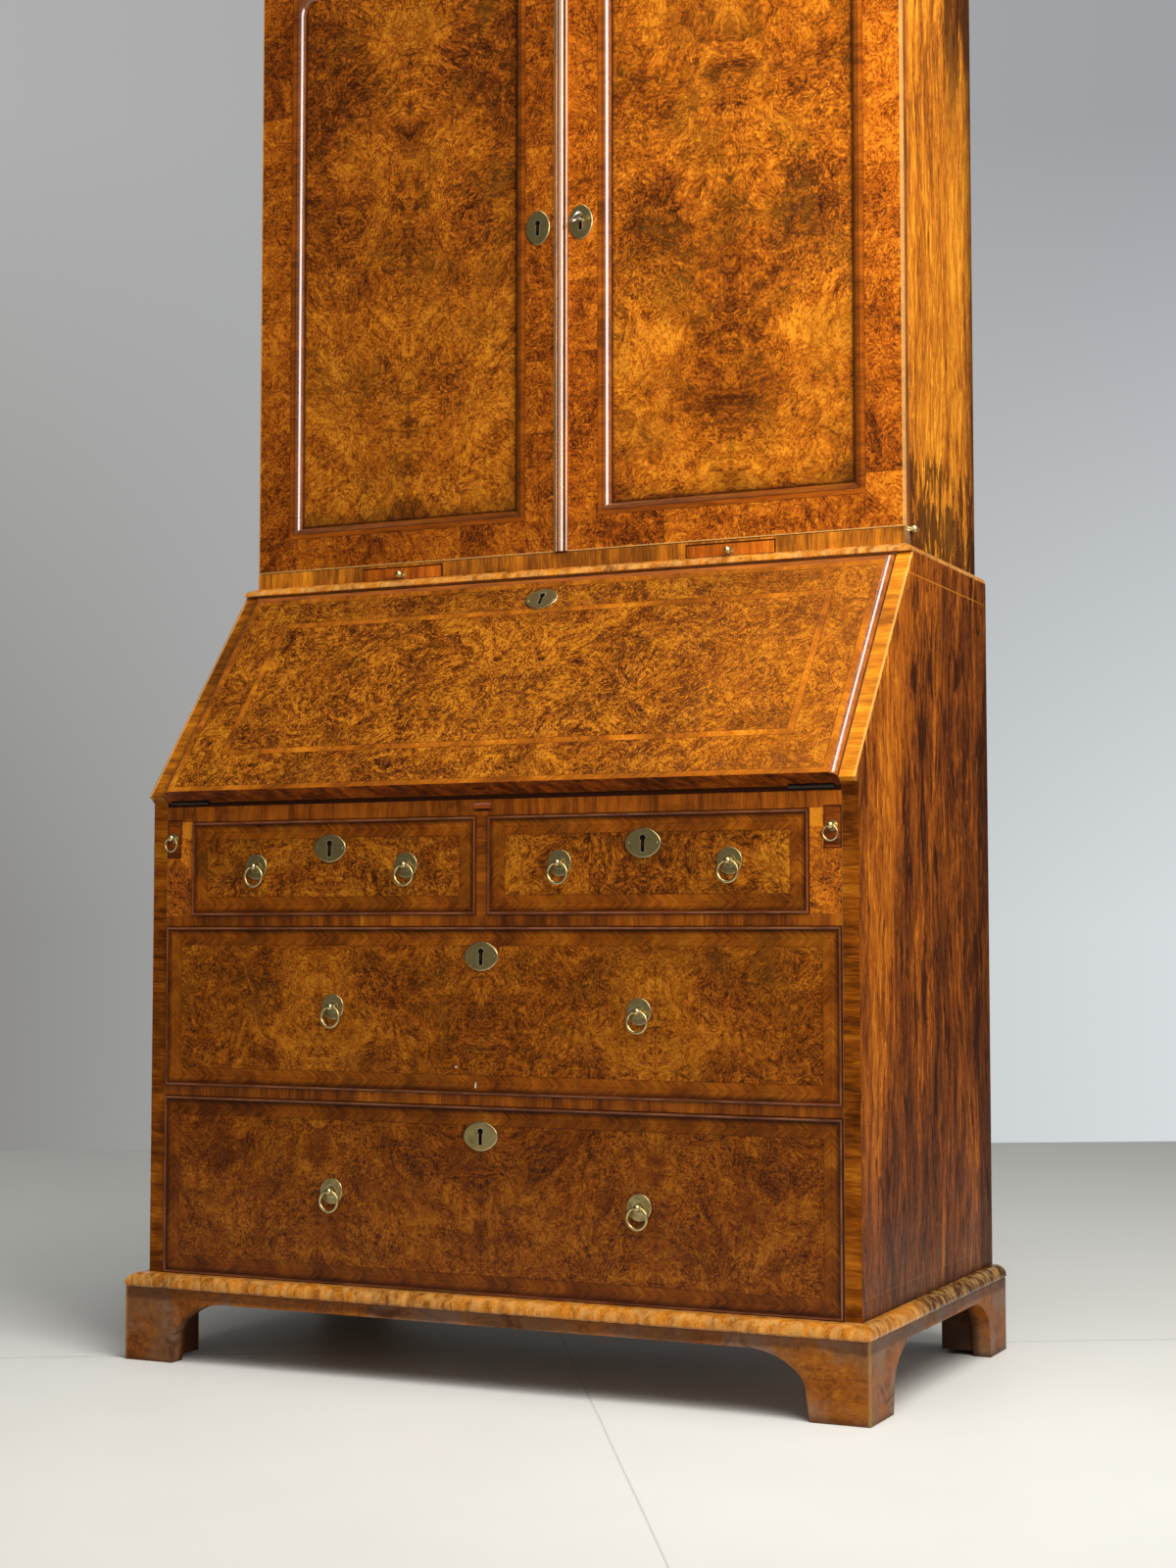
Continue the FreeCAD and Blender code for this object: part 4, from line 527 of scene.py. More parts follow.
def desk_top(name):
    """The writing board: banded front edge with the shadow under the fall painted along its top, polished
    walnut on top.
    """
    low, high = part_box(name)
    g = Graph(name + "_wood")
    face = banded(g, 3.0, g.x, 0.15, "z", 1.0)
    gap = 0.0062
    # Painted shadow: a dark band along the top, where the fall's lower end overhangs
    face = darkened(g, face, g.step(g.z, high.z - gap, high.z - gap + 0.0010))
    shadow_drop = 0.0185
    lug_shadow = line_at(g, g.x, 0.001, 0.0125) * line_at(g, g.z, high.z - shadow_drop, 0.0020)
    face = darkened(g, face, lug_shadow)
    top = straight(g, g.place, 8, "x", 0.9)
    surface = keep(g, behind_front(g, low), face, top)
    return polished(g, surface, 0.34)


def partition_front(name):
    """The divider's cross-banding and the burr fillets beside the lopers."""
    low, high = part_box(name)
    g = Graph(name + "_wood")
    divider = banded(g, 5.0, g.z, 0.07, "x", 0.85)
    knotty = burl(g, g.place, 31, 1.20, size=0.75)
    dots = g.step(g.noise(g.place, 95, 3, 0.6), 0.60, 0.70)
    knotty = darkened(g, knotty, dots * 0.75)
    outside = g.step(abs(g.x), 0.1, 0.12)
    face = keep(g, outside, divider, knotty)
    head_drop, head_reach = 0.022, 0.4535
    head = g.step(g.z, high.z - head_drop, high.z - head_drop + 0.001)
    head = head * g.step(abs(g.x), head_reach + 0.001, head_reach)
    face = stained(g, face, head * outside * 0.6, shade(GOLD, 1.1))
    surface = keep(g, behind_front(g, low), face, plain(g, "y", 0.7))
    return polished(g, surface, 0.36)


def drawer_front(name, seed, light, leaves, red, contrast, olive=0.30, russet=0.26, chips=()):
    """A drawer front: cock bead, feather band, thin lines and book-matched burr field."""
    low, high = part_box(name)
    bead, band = 0.004, 0.024
    g = Graph(name + "_veneer")
    across, up, depth = edge_distance(g, low, high)
    leaf = (high.x - low.x) / leaves
    folded = (g.x - low.x).folded(leaf)
    field = burl(g, leaf_place(g, folded, g.z), seed, light, 1.15, red, contrast)
    seam = line_at(g, folded, 0.0, 0.0007).most(line_at(g, folded, leaf, 0.0007))
    field = darkened(g, field, seam * 0.35)
    feather = feathered(g, across, up, (bead + band) / 2, seed, light * 0.98, 0.98)
    feather = darkened(g, feather, line_at(g, depth, (bead + band) / 2, 0.0006) * 0.25)
    surface = keep(g, g.step(depth, band + CRISP, band - CRISP), field, feather)
    surface = darkened(g, surface, line_at(g, depth, band, 0.0008) * 0.35)
    surface = mellowed(g, surface, light, olive, russet)
    # Darker in patches within 8 mm inside the bead
    dark_beside_bead = g.step(depth, bead + 0.008, bead) * g.noise(g.place, 30, 3, 0.6) * 1.3
    surface = darkened(g, surface, dark_beside_bead)
    for x, z, wide, tall in chips:
        chip = g.join((g.x - x) / wide, 0.0, (g.z - low.z - z) / tall)
        spot = g.cells(chip, 1.0) + (g.noise(g.place, 300, 2, 0.5) - 0.5) * 0.8
        near = g.step(abs(g.x - x), wide, wide * 0.8) * g.step(abs(g.z - low.z - z), tall, tall * 0.8)
        surface = stained(g, surface, near * g.step(spot, 0.75, 0.55), (0.75, 0.66, 0.55))
    moulding = straight(g, g.place, seed, "x", 0.40 * light, contrast=0.7, red=0.72)
    worn = g.step(g.noise(g.place, 24, 3, 0.6), 0.35, 0.65, 0.35, 1.0)
    # Painted highlight, with some wear: a pale pinkish line along the bead's top, stronger in patches
    highlit_worn_crest = line_at(g, depth, bead * 0.45, 0.0010) * worn
    moulding = stained(g, moulding, highlit_worn_crest * 0.55, (0.42, 0.165, 0.070))
    surface = keep(g, g.step(depth, bead + 0.0004, bead), surface, moulding)
    gloss = g.step(depth, bead + 0.0004, bead, 0.04, 0.22)
    behind = g.step(g.y, low.y + 0.0045, low.y + 0.0055)
    surface = keep(g, behind, surface, plain(g, "x", 0.8))
    return polished(g, surface, 0.33, coat=gloss, specular=0.08)


# The fall

def fall_face(name):
    """The fall: burr centre, a rectangle of feather banding, banded edges and a bright moulding."""
    g = Graph(name + "_veneer")
    along, out = on_fall(g)
    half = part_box(name)[1].x
    folded = abs(g.x - FALL_MIDDLE)
    figure = {"light": 0.76, "size": 0.95, "red": 1.04, "cloudy": 0.35}
    field = burl(g, leaf_place(g, folded, along), 12, contrast=1.75, **figure)
    border = burl(g, g.join(g.x, along, 0.5), 17, contrast=1.70, **figure)
    field_aside, field_above = 0.067, 0.057
    inner_x, inner_low, inner_high = half - field_aside, 0.064, FALL_LENGTH - field_above
    outside = (abs(g.x) - inner_x).most(inner_low - along).most(along - inner_high)
    surface = keep(g, g.step(outside, -CRISP, CRISP), field, border)
    band = 0.0095
    across = inner_x - abs(g.x)
    up = (along - inner_low).least(inner_high - along)
    feather = feathered(g, across, up, band / 2, 21, 1.15, 1.12)
    inside = g.step(outside, CRISP, -CRISP) * g.step(outside, -band - CRISP, -band + CRISP)
    surface = keep(g, inside, surface, feather)
    aside, above = half - abs(g.x), FALL_LENGTH - along
    moulding_width = 0.008
    rim = (aside - moulding_width).least(above - moulding_width).least(along)
    edge_feather = feathered(g, aside, along.least(above), 0.013, 23, 1.02, 1.10)
    surface = keep(g, g.step(rim, band + CRISP, band - CRISP), surface, edge_feather)
    surface = mellowed(g, surface, 0.80, 0.12, 0.16)
    # Painted shade: the fall is darkened towards its top
    surface = darkened(g, surface, g.step(above, 0.10, 0.02) * 0.20)
    # Painted light: a warm orange cast towards the fall's right end
    painted_warm_light = g.step(g.x + g.noise(g.place, 9, 3, 0.6) * 0.3, 0.28, 0.62)
    surface = stained(g, surface, painted_warm_light * 0.12, (0.80, 0.220, 0.008))
    lines = line_at(g, outside, 0.0, 0.0006).most(line_at(g, outside, -band, 0.0006))
    lines = lines.most(line_at(g, rim, band, 0.0006))
    surface = darkened(g, surface, lines * 0.45)
    moulded = g.step(rim, 0.0006, 0.0)
    ledge = moulded * g.step(along, 0.002, 0.004)
    moulding = straight(g, g.place, 6, "x", 1.1, contrast=0.6)
    surface = keep(g, ledge, surface, moulding)
    end = straight(g, g.join(g.x + out * 0.7, g.y, g.z * 0.3), 14, "z", 0.62, contrast=1.2, red=0.80)
    # Painted shade: two slots in the fall's end, painted dark instead of cut
    slot_out = 0.012
    slot = line_at(g, g.x, 0.0, 0.008) * line_at(g, out, slot_out, 0.0028)
    slot = slot.most(line_at(g, g.x, -0.246, 0.004) * line_at(g, out, slot_out, 0.0014))
    end = darkened(g, end, slot)
    surface = keep(g, g.step(along, 0.0012, 0.0008), surface, end)
    inner_face = straight(g, g.place, 9, "x", 0.9)
    surface = keep(g, g.step(out, 0.0008, 0.0003), surface, inner_face)
    return polished(g, surface, 0.30, 0.0004, coat=ledge * 0.97 + 0.03, specular=0.08)


# Mouldings and base

def cross_moulding(name, seed, light, dark_from=None, gloss=0.3):
    """A cross-grained moulding, made of short lengths, with fine dark cracks and pale wear."""
    g = Graph(name + "_wood")
    run = g.x * 0.999 + g.y
    surface = banded(g, seed, run, 0.13, "z", light, red=1.34, spread=0.14, contrast=0.7)
    cracks = g.noise(g.scaled(g.place, (170, 170, 6), (seed, 0, 0)), 1, 3, 0.6)
    surface = darkened(g, surface, g.step(cracks, 0.64, 0.72) * 0.65)
    if dark_from is not None:
        patchy = g.noise(g.place, 16, 4, 0.6) * 0.16
        surface = darkened(g, surface, g.step(g.y + patchy, dark_from, dark_from + 0.12) * 0.88)
    worn = g.step(g.noise(g.scaled(g.place, (90, 90, 30)), 1, 4, 0.65), 0.40, 0.64)
    surface = stained(g, surface, worn * 0.45, PALE)
    return polished(g, surface, 0.32, 0.0003, gloss)


def bracket_wood(name):
    """The feet: brown wood with grey and black stains, paler worn corners, darker bands at the top and
    foot, and painted shade on the inner curves.
    """
    g = Graph(name + "_wood")
    low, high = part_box(name)
    grain = straight(g, g.place, 15, "x", 0.85, contrast=0.8, red=1.10)
    figured = burl(g, g.place, 44, 0.85, size=2.6, red=1.10, contrast=0.7)
    surface = keep(g, 0.45, figured, grain)
    cloud = g.noise(g.place, 9, 4, 0.62)
    surface = stained(g, surface, g.step(cloud, 0.40, 0.60) * 0.60, (0.175, 0.092, 0.042))
    grey = g.step(g.noise(g.scaled(g.place, (1, 1, 1), (7, 3, 1)), 13, 4, 0.6), 0.46, 0.62)
    surface = stained(g, surface, grey * 0.62, (0.225, 0.150, 0.105))
    soot = g.noise(g.scaled(g.place, (1, 1, 1.6), (2, 8, 5)), 17, 5, 0.66, 0.8)
    surface = darkened(g, surface, g.step(soot, 0.55, 0.68) * 0.62)
    # Darker in a thin band at the top and near the floor
    under = g.step(g.z + cloud * 0.02, high.z - 0.006, high.z - 0.001)
    surface = darkened(g, surface, under * 0.5)
    foot = g.step(g.z + cloud * 0.02, 0.020, 0.008)
    surface = darkened(g, surface, foot * 0.6)
    chipped = g.noise(g.place, 70, 4, 0.65) * 0.008
    corner = g.step(g.y + chipped, low.y + 0.009, low.y + 0.004)
    corner = corner * g.step(abs(g.x), high.x - 0.0045, high.x - 0.0005)
    surface = stained(g, surface, corner * 0.40, shade(PALE, 0.75))
    # Painted shade: the inner faces behind the front and sides are darkened
    inside = g.step(g.y, low.y + 0.012, low.y + 0.022) * g.step(abs(g.x), high.x - 0.012, high.x - 0.022)
    surface = darkened(g, surface, inside * 0.75)
    return polished(g, surface, 0.45, 0.0010, 0.02)


# The bookcase

def upper_side(name, seed):
    """A bookcase side: golden upright streaks, grime at the foot and a dark stain high at the back."""
    low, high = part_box(name)
    g = Graph(name + "_veneer")
    face = abs(g.x)
    inner, outer = sorted((abs(low.x), abs(high.x)))
    side = streaked(g, seed, 1.22, 0.0, 1.16)
    ragged = g.noise(g.scaled(g.place, (60, 60, 15), (5, 2, 9)), 1, 6, 0.74, 0.8)
    foot = g.step(g.z, low.z + 0.19, low.z + 0.02)
    side = darkened(g, side, g.step(ragged + foot * 0.15, 0.54, 0.62) * g.step(foot, 0.0, 0.4) * 0.84)
    broad = g.noise(g.scaled(g.place, (18, 18, 4), (1, 7, 3)), 1, 5, 0.70, 0.6)
    head = g.step(g.z, low.z + 0.50, low.z + 0.76) * g.step(g.y, low.y + 0.09, low.y + 0.20)
    side = darkened(g, side, g.step(broad + head * 0.13, 0.52, 0.62) * head * 0.85)
    back = g.step(g.y + ragged * 0.04, high.y - 0.04, high.y + 0.02)
    side = darkened(g, side, back * 0.8)
    side = darkened(g, side, g.step(ragged, 0.60, 0.70) * 0.45)
    surface = keep(g, g.step(face, outer - 0.001, outer - 0.0004), banded(g, 2, g.z, 0.12, "x", 0.8), side)
    surface = keep(g, g.step(face, inner + 0.001, inner + 0.0003), surface, plain(g, "z", 0.8))
    return polished(g, surface, 0.36, coat=0.0, specular=0.05)


def door_frame(name, seed, light):
    """A door frame: burr veneer in blocks, mitred corners, a plain band beside a glossy ovolo."""
    low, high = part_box(name)
    panel_low, panel_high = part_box(name.replace("frame", "panel"))
    tongue, shoulder = 0.009, 0.019
    left, right = panel_low.x + tongue, panel_high.x - tongue
    sill, crown = panel_low.z + tongue, panel_high.z - tongue
    middle = (left + right) / 2
    half = (right - left) / 2
    arch = half - shoulder
    g = Graph(name + "_veneer")
    aside = abs(g.x - middle) - half
    above = g.length(g.join(g.x - middle, 0.0, g.z - (crown - arch))) - arch
    high_up = g.step(g.z, crown - arch - CRISP, crown - arch)
    outside = (aside.most(sill - g.z)) * (1.0 - high_up) + above * high_up
    across, up, depth = edge_distance(g, low, high)
    stile = g.step(up - across, 0.0, CRISP)
    run = g.z * stile + g.x * (1.0 - stile)
    block_length = 0.100
    blocks = run / block_length + seed * 0.31
    jump = g.chance(blocks.whole() + stile * 50.0, seed)
    p = g.join(g.x + jump * 7.0, 0.0, g.z + jump * 3.0)
    surface = burl(g, p, seed, light, size=1.20, red=0.90, contrast=1.10)
    tone = surface[2] + (jump - 0.5) * 0.12
    surface = palette(g, tone, light, 0.90), surface[1], tone
    seam = g.step(blocks.folded(1.0), 0.016, 0.006)
    mitre = line_at(g, up - across, 0.0, 0.0007)
    surface = darkened(g, surface, (seam * 0.35).most(mitre * 0.6))
    ovolo, flat = 0.0092, 0.0165
    band = g.step(outside, flat + CRISP, flat - CRISP)
    gold = straight(g, g.place, seed, "x", light * 1.05, contrast=0.6, red=0.92)
    surface = keep(g, band, surface, gold)
    surface = darkened(g, surface, line_at(g, outside, flat, 0.0007) * 0.45)
    rounding = g.step(outside, ovolo + 0.0003, ovolo - 0.0003)
    bead = straight(g, g.place, seed, "x", light * 0.75, contrast=0.6)
    surface = keep(g, rounding, surface, bead)
    surface = darkened(g, surface, line_at(g, outside, ovolo, 0.0005) * 0.8)
    # Painted highlight: a pale line round the frame's outer edge
    rim = g.step(depth, 0.0022, 0.0010)
    surface = stained(g, surface, rim * 0.60, shade(PALE, 0.9))
    behind = g.step(g.y, low.y + 0.0105, low.y + 0.0115)
    surface = keep(g, behind, surface, straight(g, g.place, seed + 3, "z", light * 0.95))
    back = g.step(g.y, high.y - 0.0010, high.y - 0.0004)
    surface = keep(g, back, surface, plain(g, "z", 0.8))
    front = g.step(g.y, low.y + 0.0100, low.y + 0.0090)
    gloss = rounding * front * g.step(g.x - middle, 0.08, -0.08, 0.25, 0.80)
    return polished(g, surface, 0.27, 0.0003, gloss + 0.03)


# Each figure on a door's seam: its height on the panel, its size and how dark it is
FIGURES = (
    (0.012, 0.55, 0.50),
    (0.140, 1.0, 0.80),
    (0.330, 0.5, 0.45),
    (0.470, 0.8, 0.55),
    (0.690, 0.7, 0.50),
)


def door_panel(name, seed, light):
    """A door panel: two matched burr leaves, with dark winged figures on their seam."""
    low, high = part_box(name)
    middle = (low.x + high.x) / 2
    g = Graph(name + "_veneer")
    folded = abs(g.x - middle)
    leaf = leaf_place(g, folded, g.z)
    surface = burl(g, leaf, seed, light, size=1.50, contrast=1.10, cloudy=1.05)
    wing = g.noise(leaf, 30, 4, 0.65, 1.2) - 0.5
    ragged = g.noise(leaf, 130, 3, 0.65, 2.5) - 0.5
    wisps = g.step(g.noise(g.scaled(leaf, (22, 1, 90), (seed, 0, 0)), 1, 4, 0.65, 1.5), 0.44, 0.60)
    for level, size, depth in FIGURES:
        rise = (g.z - low.z - level) / size + wing * 0.060 + ragged * 0.012
        spread = rise + folded * 0.30
        blade = g.step(abs(spread), 0.024, 0.002) * g.step(folded / size + ragged * 0.02, 0.085, 0.012)
        stem = g.step(folded / size + wing * 0.020 + ragged * 0.010, 0.009, 0.001)
        stem = stem * g.step(rise, -0.150, -0.080) * g.step(rise, 0.020, -0.010)
        figure = (blade * (wisps * 0.8 + 0.2)).most(stem * (wisps * 0.6 + 0.2))
        surface = darkened(g, surface, figure * depth)
    surface = mellowed(g, surface, light, 0.30, 0.20)
    foot = g.step(g.z + wing * 0.12, low.z + 0.045, low.z + 0.012)
    surface = darkened(g, surface, foot * 0.45)
    seam = line_at(g, folded, 0.0, 0.0006)
    surface = darkened(g, surface, seam * 0.25)
    # Painted shadow: the panel is darkened beside the frame's moulding, along its sides and foot
    rim = (high.x - middle - folded).least(g.z - low.z)
    surface = darkened(g, surface, g.step(rim, 0.0150, 0.0095) * 0.85)
    behind = g.step(g.y, low.y + 0.004, low.y + 0.005)
    surface = keep(g, behind, surface, plain(g, "z", 0.8))
    return polished(g, surface, 0.25)


def astragal_wood(name):
    """The moulding on the meeting edge: glossy walnut, pale along its ridge as wear and painted highlight,
    with two dark quirks.
    """
    low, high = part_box(name)
    g = Graph(name + "_wood")
    bead = straight(g, g.place, 4, "z", 1.25, contrast=0.7, red=1.15)
    highlit_worn_crest = g.step(g.y, low.y + 0.0035, low.y + 0.0005)
    # Painted highlight, with some wear: the bead is painted pale along its front ridge
    bead = stained(g, bead, highlit_worn_crest * 0.5, (0.66, 0.36, 0.20))
    quirks = line_at(g, g.x, high.x - 0.0048, 0.0006)
    quirks = quirks.most(line_at(g, g.x, low.x + 0.0042, 0.0006))
    return polished(g, darkened(g, bead, quirks), 0.24, 0.0002, coat=1.0)


def inside_oak(name, along, light, plank=None):
    """Dull oak of the backs, shelves and drawer boxes."""
    g = Graph(name + "_oak")
    return polished(g, plain(g, along, light, plank), 0.6, 0.0006, 0.0)


# Metals

# Brass where it is bare, dulled, and rubbed bright with a painted highlight on its edges
BARE, PATINA, RUBBED_AND_HIGHLIT = (0.54, 0.42, 0.175), (0.31, 0.235, 0.090), (0.92, 0.84, 0.62)

# A keyhole's round eye and how high it sits, then its leg's half width, its drop and half its length
HOLE_EYE, HOLE_EYE_RISE = 0.0040, 0.0060
HOLE_LEG, HOLE_LEG_DROP, HOLE_LEG_REACH = 0.0026, 0.0025, 0.0085


def brass(name, light=1.0, iron_below=None, keyholes=(), on_slope=False):
    """Old brass: olive, clouded by patina in the hollows and pale on the edges, partly rubbed bright and
    partly painted highlight.
    """
    g = Graph(name)
    cloud = g.noise(g.place, 90, 5, 0.6)
    fine = g.noise(g.place, 600, 3, 0.6)
    patina = g.step(cloud + (fine - 0.5) * 0.4, 0.40, 0.70)
    bevel = g.add("ShaderNodeBevel", samples=4)
    bevel.inputs["Radius"].default_value = 0.0014
    geometry = g.add("ShaderNodeNewGeometry")
    turn = g.add("ShaderNodeVectorMath", operation="DOT_PRODUCT")
    g.tree.links.new(bevel.outputs[0], turn.inputs[0])
    g.tree.links.new(geometry.outputs["Normal"], turn.inputs[1])
    edge = g.step(Signal(g, turn.outputs["Value"]), 0.995, 0.90)
    colour = g.mix(patina, shade(BARE, light), shade(PATINA, light))
    # Painted highlight, with wear: the edges are painted pale
    colour = g.mix(edge * 0.95, colour, shade(RUBBED_AND_HIGHLIT, light))
    roughness = 0.30 + patina * 0.16 - edge * 0.10 + (fine - 0.5) * 0.1
    up = on_fall(g)[0] if on_slope else g.z
    # Painted keyholes: each is painted near black as painted shade, ringed by a pale painted highlight
    for x, level in keyholes:
        eye = g.length(g.join(g.x - x, 0.0, up - level - HOLE_EYE_RISE)) - HOLE_EYE
        leg = (abs(g.x - x) - HOLE_LEG).most(abs(up - level + HOLE_LEG_DROP) - HOLE_LEG_REACH)
        hole = leg.least(eye)
        colour = g.mix(g.step(hole, 0.0012, 0.0004) * 0.8, colour, shade((0.85, 0.74, 0.48), light))
        colour = g.mix(g.step(hole, 0.0003, -0.0003), colour, (0.010, 0.008, 0.006))
        roughness = roughness + g.step(hole, 0.0003, -0.0003) * 0.5
    if iron_below is not None:
        rust = g.step(g.z, iron_below + 0.001, iron_below)
        colour = g.mix(rust, colour, g.mix(cloud, (0.030, 0.024, 0.020), (0.085, 0.065, 0.050)))
        roughness = roughness + rust * 0.15
    normal = g.bump(cloud + fine * 0.6, 0.25, 0.0003)
    return g.finish(colour, roughness, normal, metallic=1.0)


def iron(name):
    """The key's rubbed iron."""
    g = Graph(name)
    cloud = g.noise(g.place, 160, 5, 0.65)
    colour = g.mix(g.step(cloud, 0.45, 0.70), (0.74, 0.69, 0.60), (0.30, 0.24, 0.18))
    return g.finish(colour, 0.24 + cloud * 0.2, g.bump(cloud, 0.3, 0.0003), metallic=1.0)


# The CAD nodes' finishes

# The chips in the upper drawer's edge: where each lies, its half width and half height
UPPER_CHIPS = ((-0.036, 0.034, 0.0016, 0.0014), (-0.008, 0.012, 0.0012, 0.0044))

# The middles of the escutcheons, across and up
DRAWER_PLATES = {
    "short_drawer_left": (-0.22275, 0.6732),
    "short_drawer_right": (0.22275, 0.6732),
    "upper_drawer": (0.0, 0.5339),
    "lower_drawer": (0.0, 0.3092),
}
DOOR_PLATES = ((-0.035, 1.5305), (0.030, 1.5305))
FALL_PLATE_UP = 0.3259

# How light the wood of each door and drawer is painted, with painted shade in it
# The left door is painted darker than the right: painted shade, as the key lamp stands at the right
FRAME_PAINTED_LIGHT = {"left": 0.78, "right": 0.96}
PANEL_PAINTED_LIGHT = {"left": 0.85, "right": 1.04}
# The drawers are painted darker downwards, partly their own tone and partly painted shade
SHORT_TONE_AND_SHADE, UPPER_TONE_AND_SHADE, LOWER_TONE_AND_SHADE = 0.76, 0.71, 0.56

clad("bureau_side_left", bureau_side, 5)
clad("bureau_side_right", bureau_side, 2)
clad("dustboards", fronted_board, 4, "x", 0.12, "z", 0.82)
clad("desk_board", desk_top)
clad("drawer_partitions", partition_front)
clad("bureau_top", fronted_board, 7, "x", 0.10, "z", 1.15)
clad("base_moulding", cross_moulding, 3, 1.65, FRONT + 0.20)
clad("waist_moulding", cross_moulding, 8, 1.75, gloss=0.4)
clad("cornice", cross_moulding, 6, 1.1)
clad("bracket_base", bracket_wood)
clad("bookcase_side_left", upper_side, 9)
clad("bookcase_side_right", upper_side, 6)
clad("bookcase_top", fronted_board, 9, "x", 0.10, "z", 1.1)
clad("candle_rail", fronted_board, 11, "x", 0.19, "z", 1.60, red=1.25)
clad("pigeonholes", fronted_board, 5, "x", 0.20, "x", 0.95, inside_light=1.0)
for index, side in enumerate(("left", "right")):
    name = f"short_drawer_{side}_front"
    clad(name, drawer_front, 3 + index, SHORT_TONE_AND_SHADE, leaves=2, red=1.02, contrast=1.35)
    name = f"candle_slide_{side}"
    clad(name, fronted_board, 13 + index, "x", 0.2, "z", 1.25, "y", 0.75, red=0.92, gap=0.0016)
    name = f"loper_{side}"
    clad(name, fronted_board, 17 + index, "z", 0.2, "x", 0.9, "y", 0.8, red=0.85, gap=0.0015)
    name = f"door_{side}_frame"
    clad(name, door_frame, 5 + index * 3, FRAME_PAINTED_LIGHT[side])
    name = f"door_{side}_panel"
    clad(name, door_panel, 8 + index * 5, PANEL_PAINTED_LIGHT[side])
name = "upper_drawer_front"
clad(name, drawer_front, 6, UPPER_TONE_AND_SHADE, leaves=4, red=1.0, contrast=1.15, russet=0.15, chips=UPPER_CHIPS)
name = "lower_drawer_front"
clad(name, drawer_front, 7, LOWER_TONE_AND_SHADE, leaves=4, red=0.96, contrast=1.05, olive=0.10, russet=0.45)
clad("fall_board", fall_face)
clad("door_astragal", astragal_wood)

# Each inner board's grain, how light it is and the width of its planks
INSIDE_BOARDS = {
    "bureau_back": ("z", 0.8, 0.163),
    "bookcase_back": ("z", 0.9, 0.158),
    "bookcase_bottom": ("x", 0.8, None),
    "bookcase_shelves": ("x", 0.8, None),
}
for name, (along, light, plank) in INSIDE_BOARDS.items():
    clad(name, inside_oak, along, light, plank)
for drawer in DRAWER_PLATES:
    clad(f"{drawer}_box", inside_oak, "y", 0.9)

IRON_BELOW = DESK + 0.050
plates = brass("plate_brass", keyholes=[*DRAWER_PLATES.values(), *DOOR_PLATES])
dress([name for name in nodes if name.endswith("_brass")], plates)
fall_keyhole = [(FALL_MIDDLE, FALL_PLATE_UP)]
clad("fall_brass", brass, iron_below=IRON_BELOW, keyholes=fall_keyhole, on_slope=True)
dress([name for name in nodes if "ring" in name], brass("ring_brass", 1.15))
dress([name for name in nodes if "knob" in name], brass("knob_brass", 1.2))
dress(["case_hinges"], brass("hinge_brass", 1.1, IRON_BELOW))
dress(["door_key"], iron("key_iron"))


# Small pieces

def turned_pin(name, place, out, radius, height, body, material):
    """A small domed pin head, turned about its own axis."""
    steps = 14
    profile = [(0.0, height), (radius * 0.55, height * 0.86), (radius * 0.86, height * 0.5), (radius, 0.0)]
    mesh = bpy.data.meshes.new(name)
    verts = [(0.0, 0.0, profile[0][1])]
    turns = [i * math.tau / steps for i in range(steps)]
    for far, up in profile[1:]:
        verts += [(far * math.cos(turn), far * math.sin(turn), up) for turn in turns]
    faces = [(0, 1 + i, 1 + (i + 1) % steps) for i in range(steps)]
    for ring in range(len(profile) - 2):
        start = 1 + ring * steps
        for i in range(steps):
            j = (i + 1) % steps
            faces.append((start + i, start + steps + i, start + steps + j, start + j))
    mesh.from_pydata(verts, [], faces)
    mesh.polygons.foreach_set("use_smooth", [True] * len(mesh.polygons))
    mesh.materials.append(material)
    pin = placed(name, mesh)
    pin.matrix_world = out.to_track_quat("Z", "Y").to_matrix().to_4x4()
    pin.location = place
    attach(pin, body)


def rail_lug():
    """The flat lug let into the rail under the fall's slot; the open fall passes just clear of it."""
    half_width, half_height, depth, drop = 0.0115, 0.0034, 0.00045, 0.0135
    profile = [(0.0, -half_height), (depth * 0.55, -half_height), (depth, half_height * 0.35)]
    profile += [(depth * 0.92, half_height * 0.85), (depth * 0.70, half_height), (0.0, half_height)]
    mesh = bpy.data.meshes.new("rail_lug")
    verts = [(x, FRONT - out, DESK - drop + up) for x in (-half_width, half_width) for out, up in profile]
    count = len(profile)
    faces = [tuple(range(count)), tuple(reversed(range(count, 2 * count)))]
    faces += [(i, count + i, count + (i + 1) % count, (i + 1) % count) for i in range(count)]
    mesh.from_pydata(verts, [], faces)
    g = Graph("lug_wood")
    wood = straight(g, g.place, 2, "x", 1.0, 0.8, 0.75)
    # Painted highlight: the lug's top is painted pale
    top = g.step(g.z, DESK - 0.0130, DESK - 0.0115)
    mesh.materials.append(polished(g, stained(g, wood, top * 0.6, (0.50, 0.22, 0.13)), 0.30, coat=0.4))
    lug = placed("rail_lug", mesh)
    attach(lug, "case")


rail_lug()

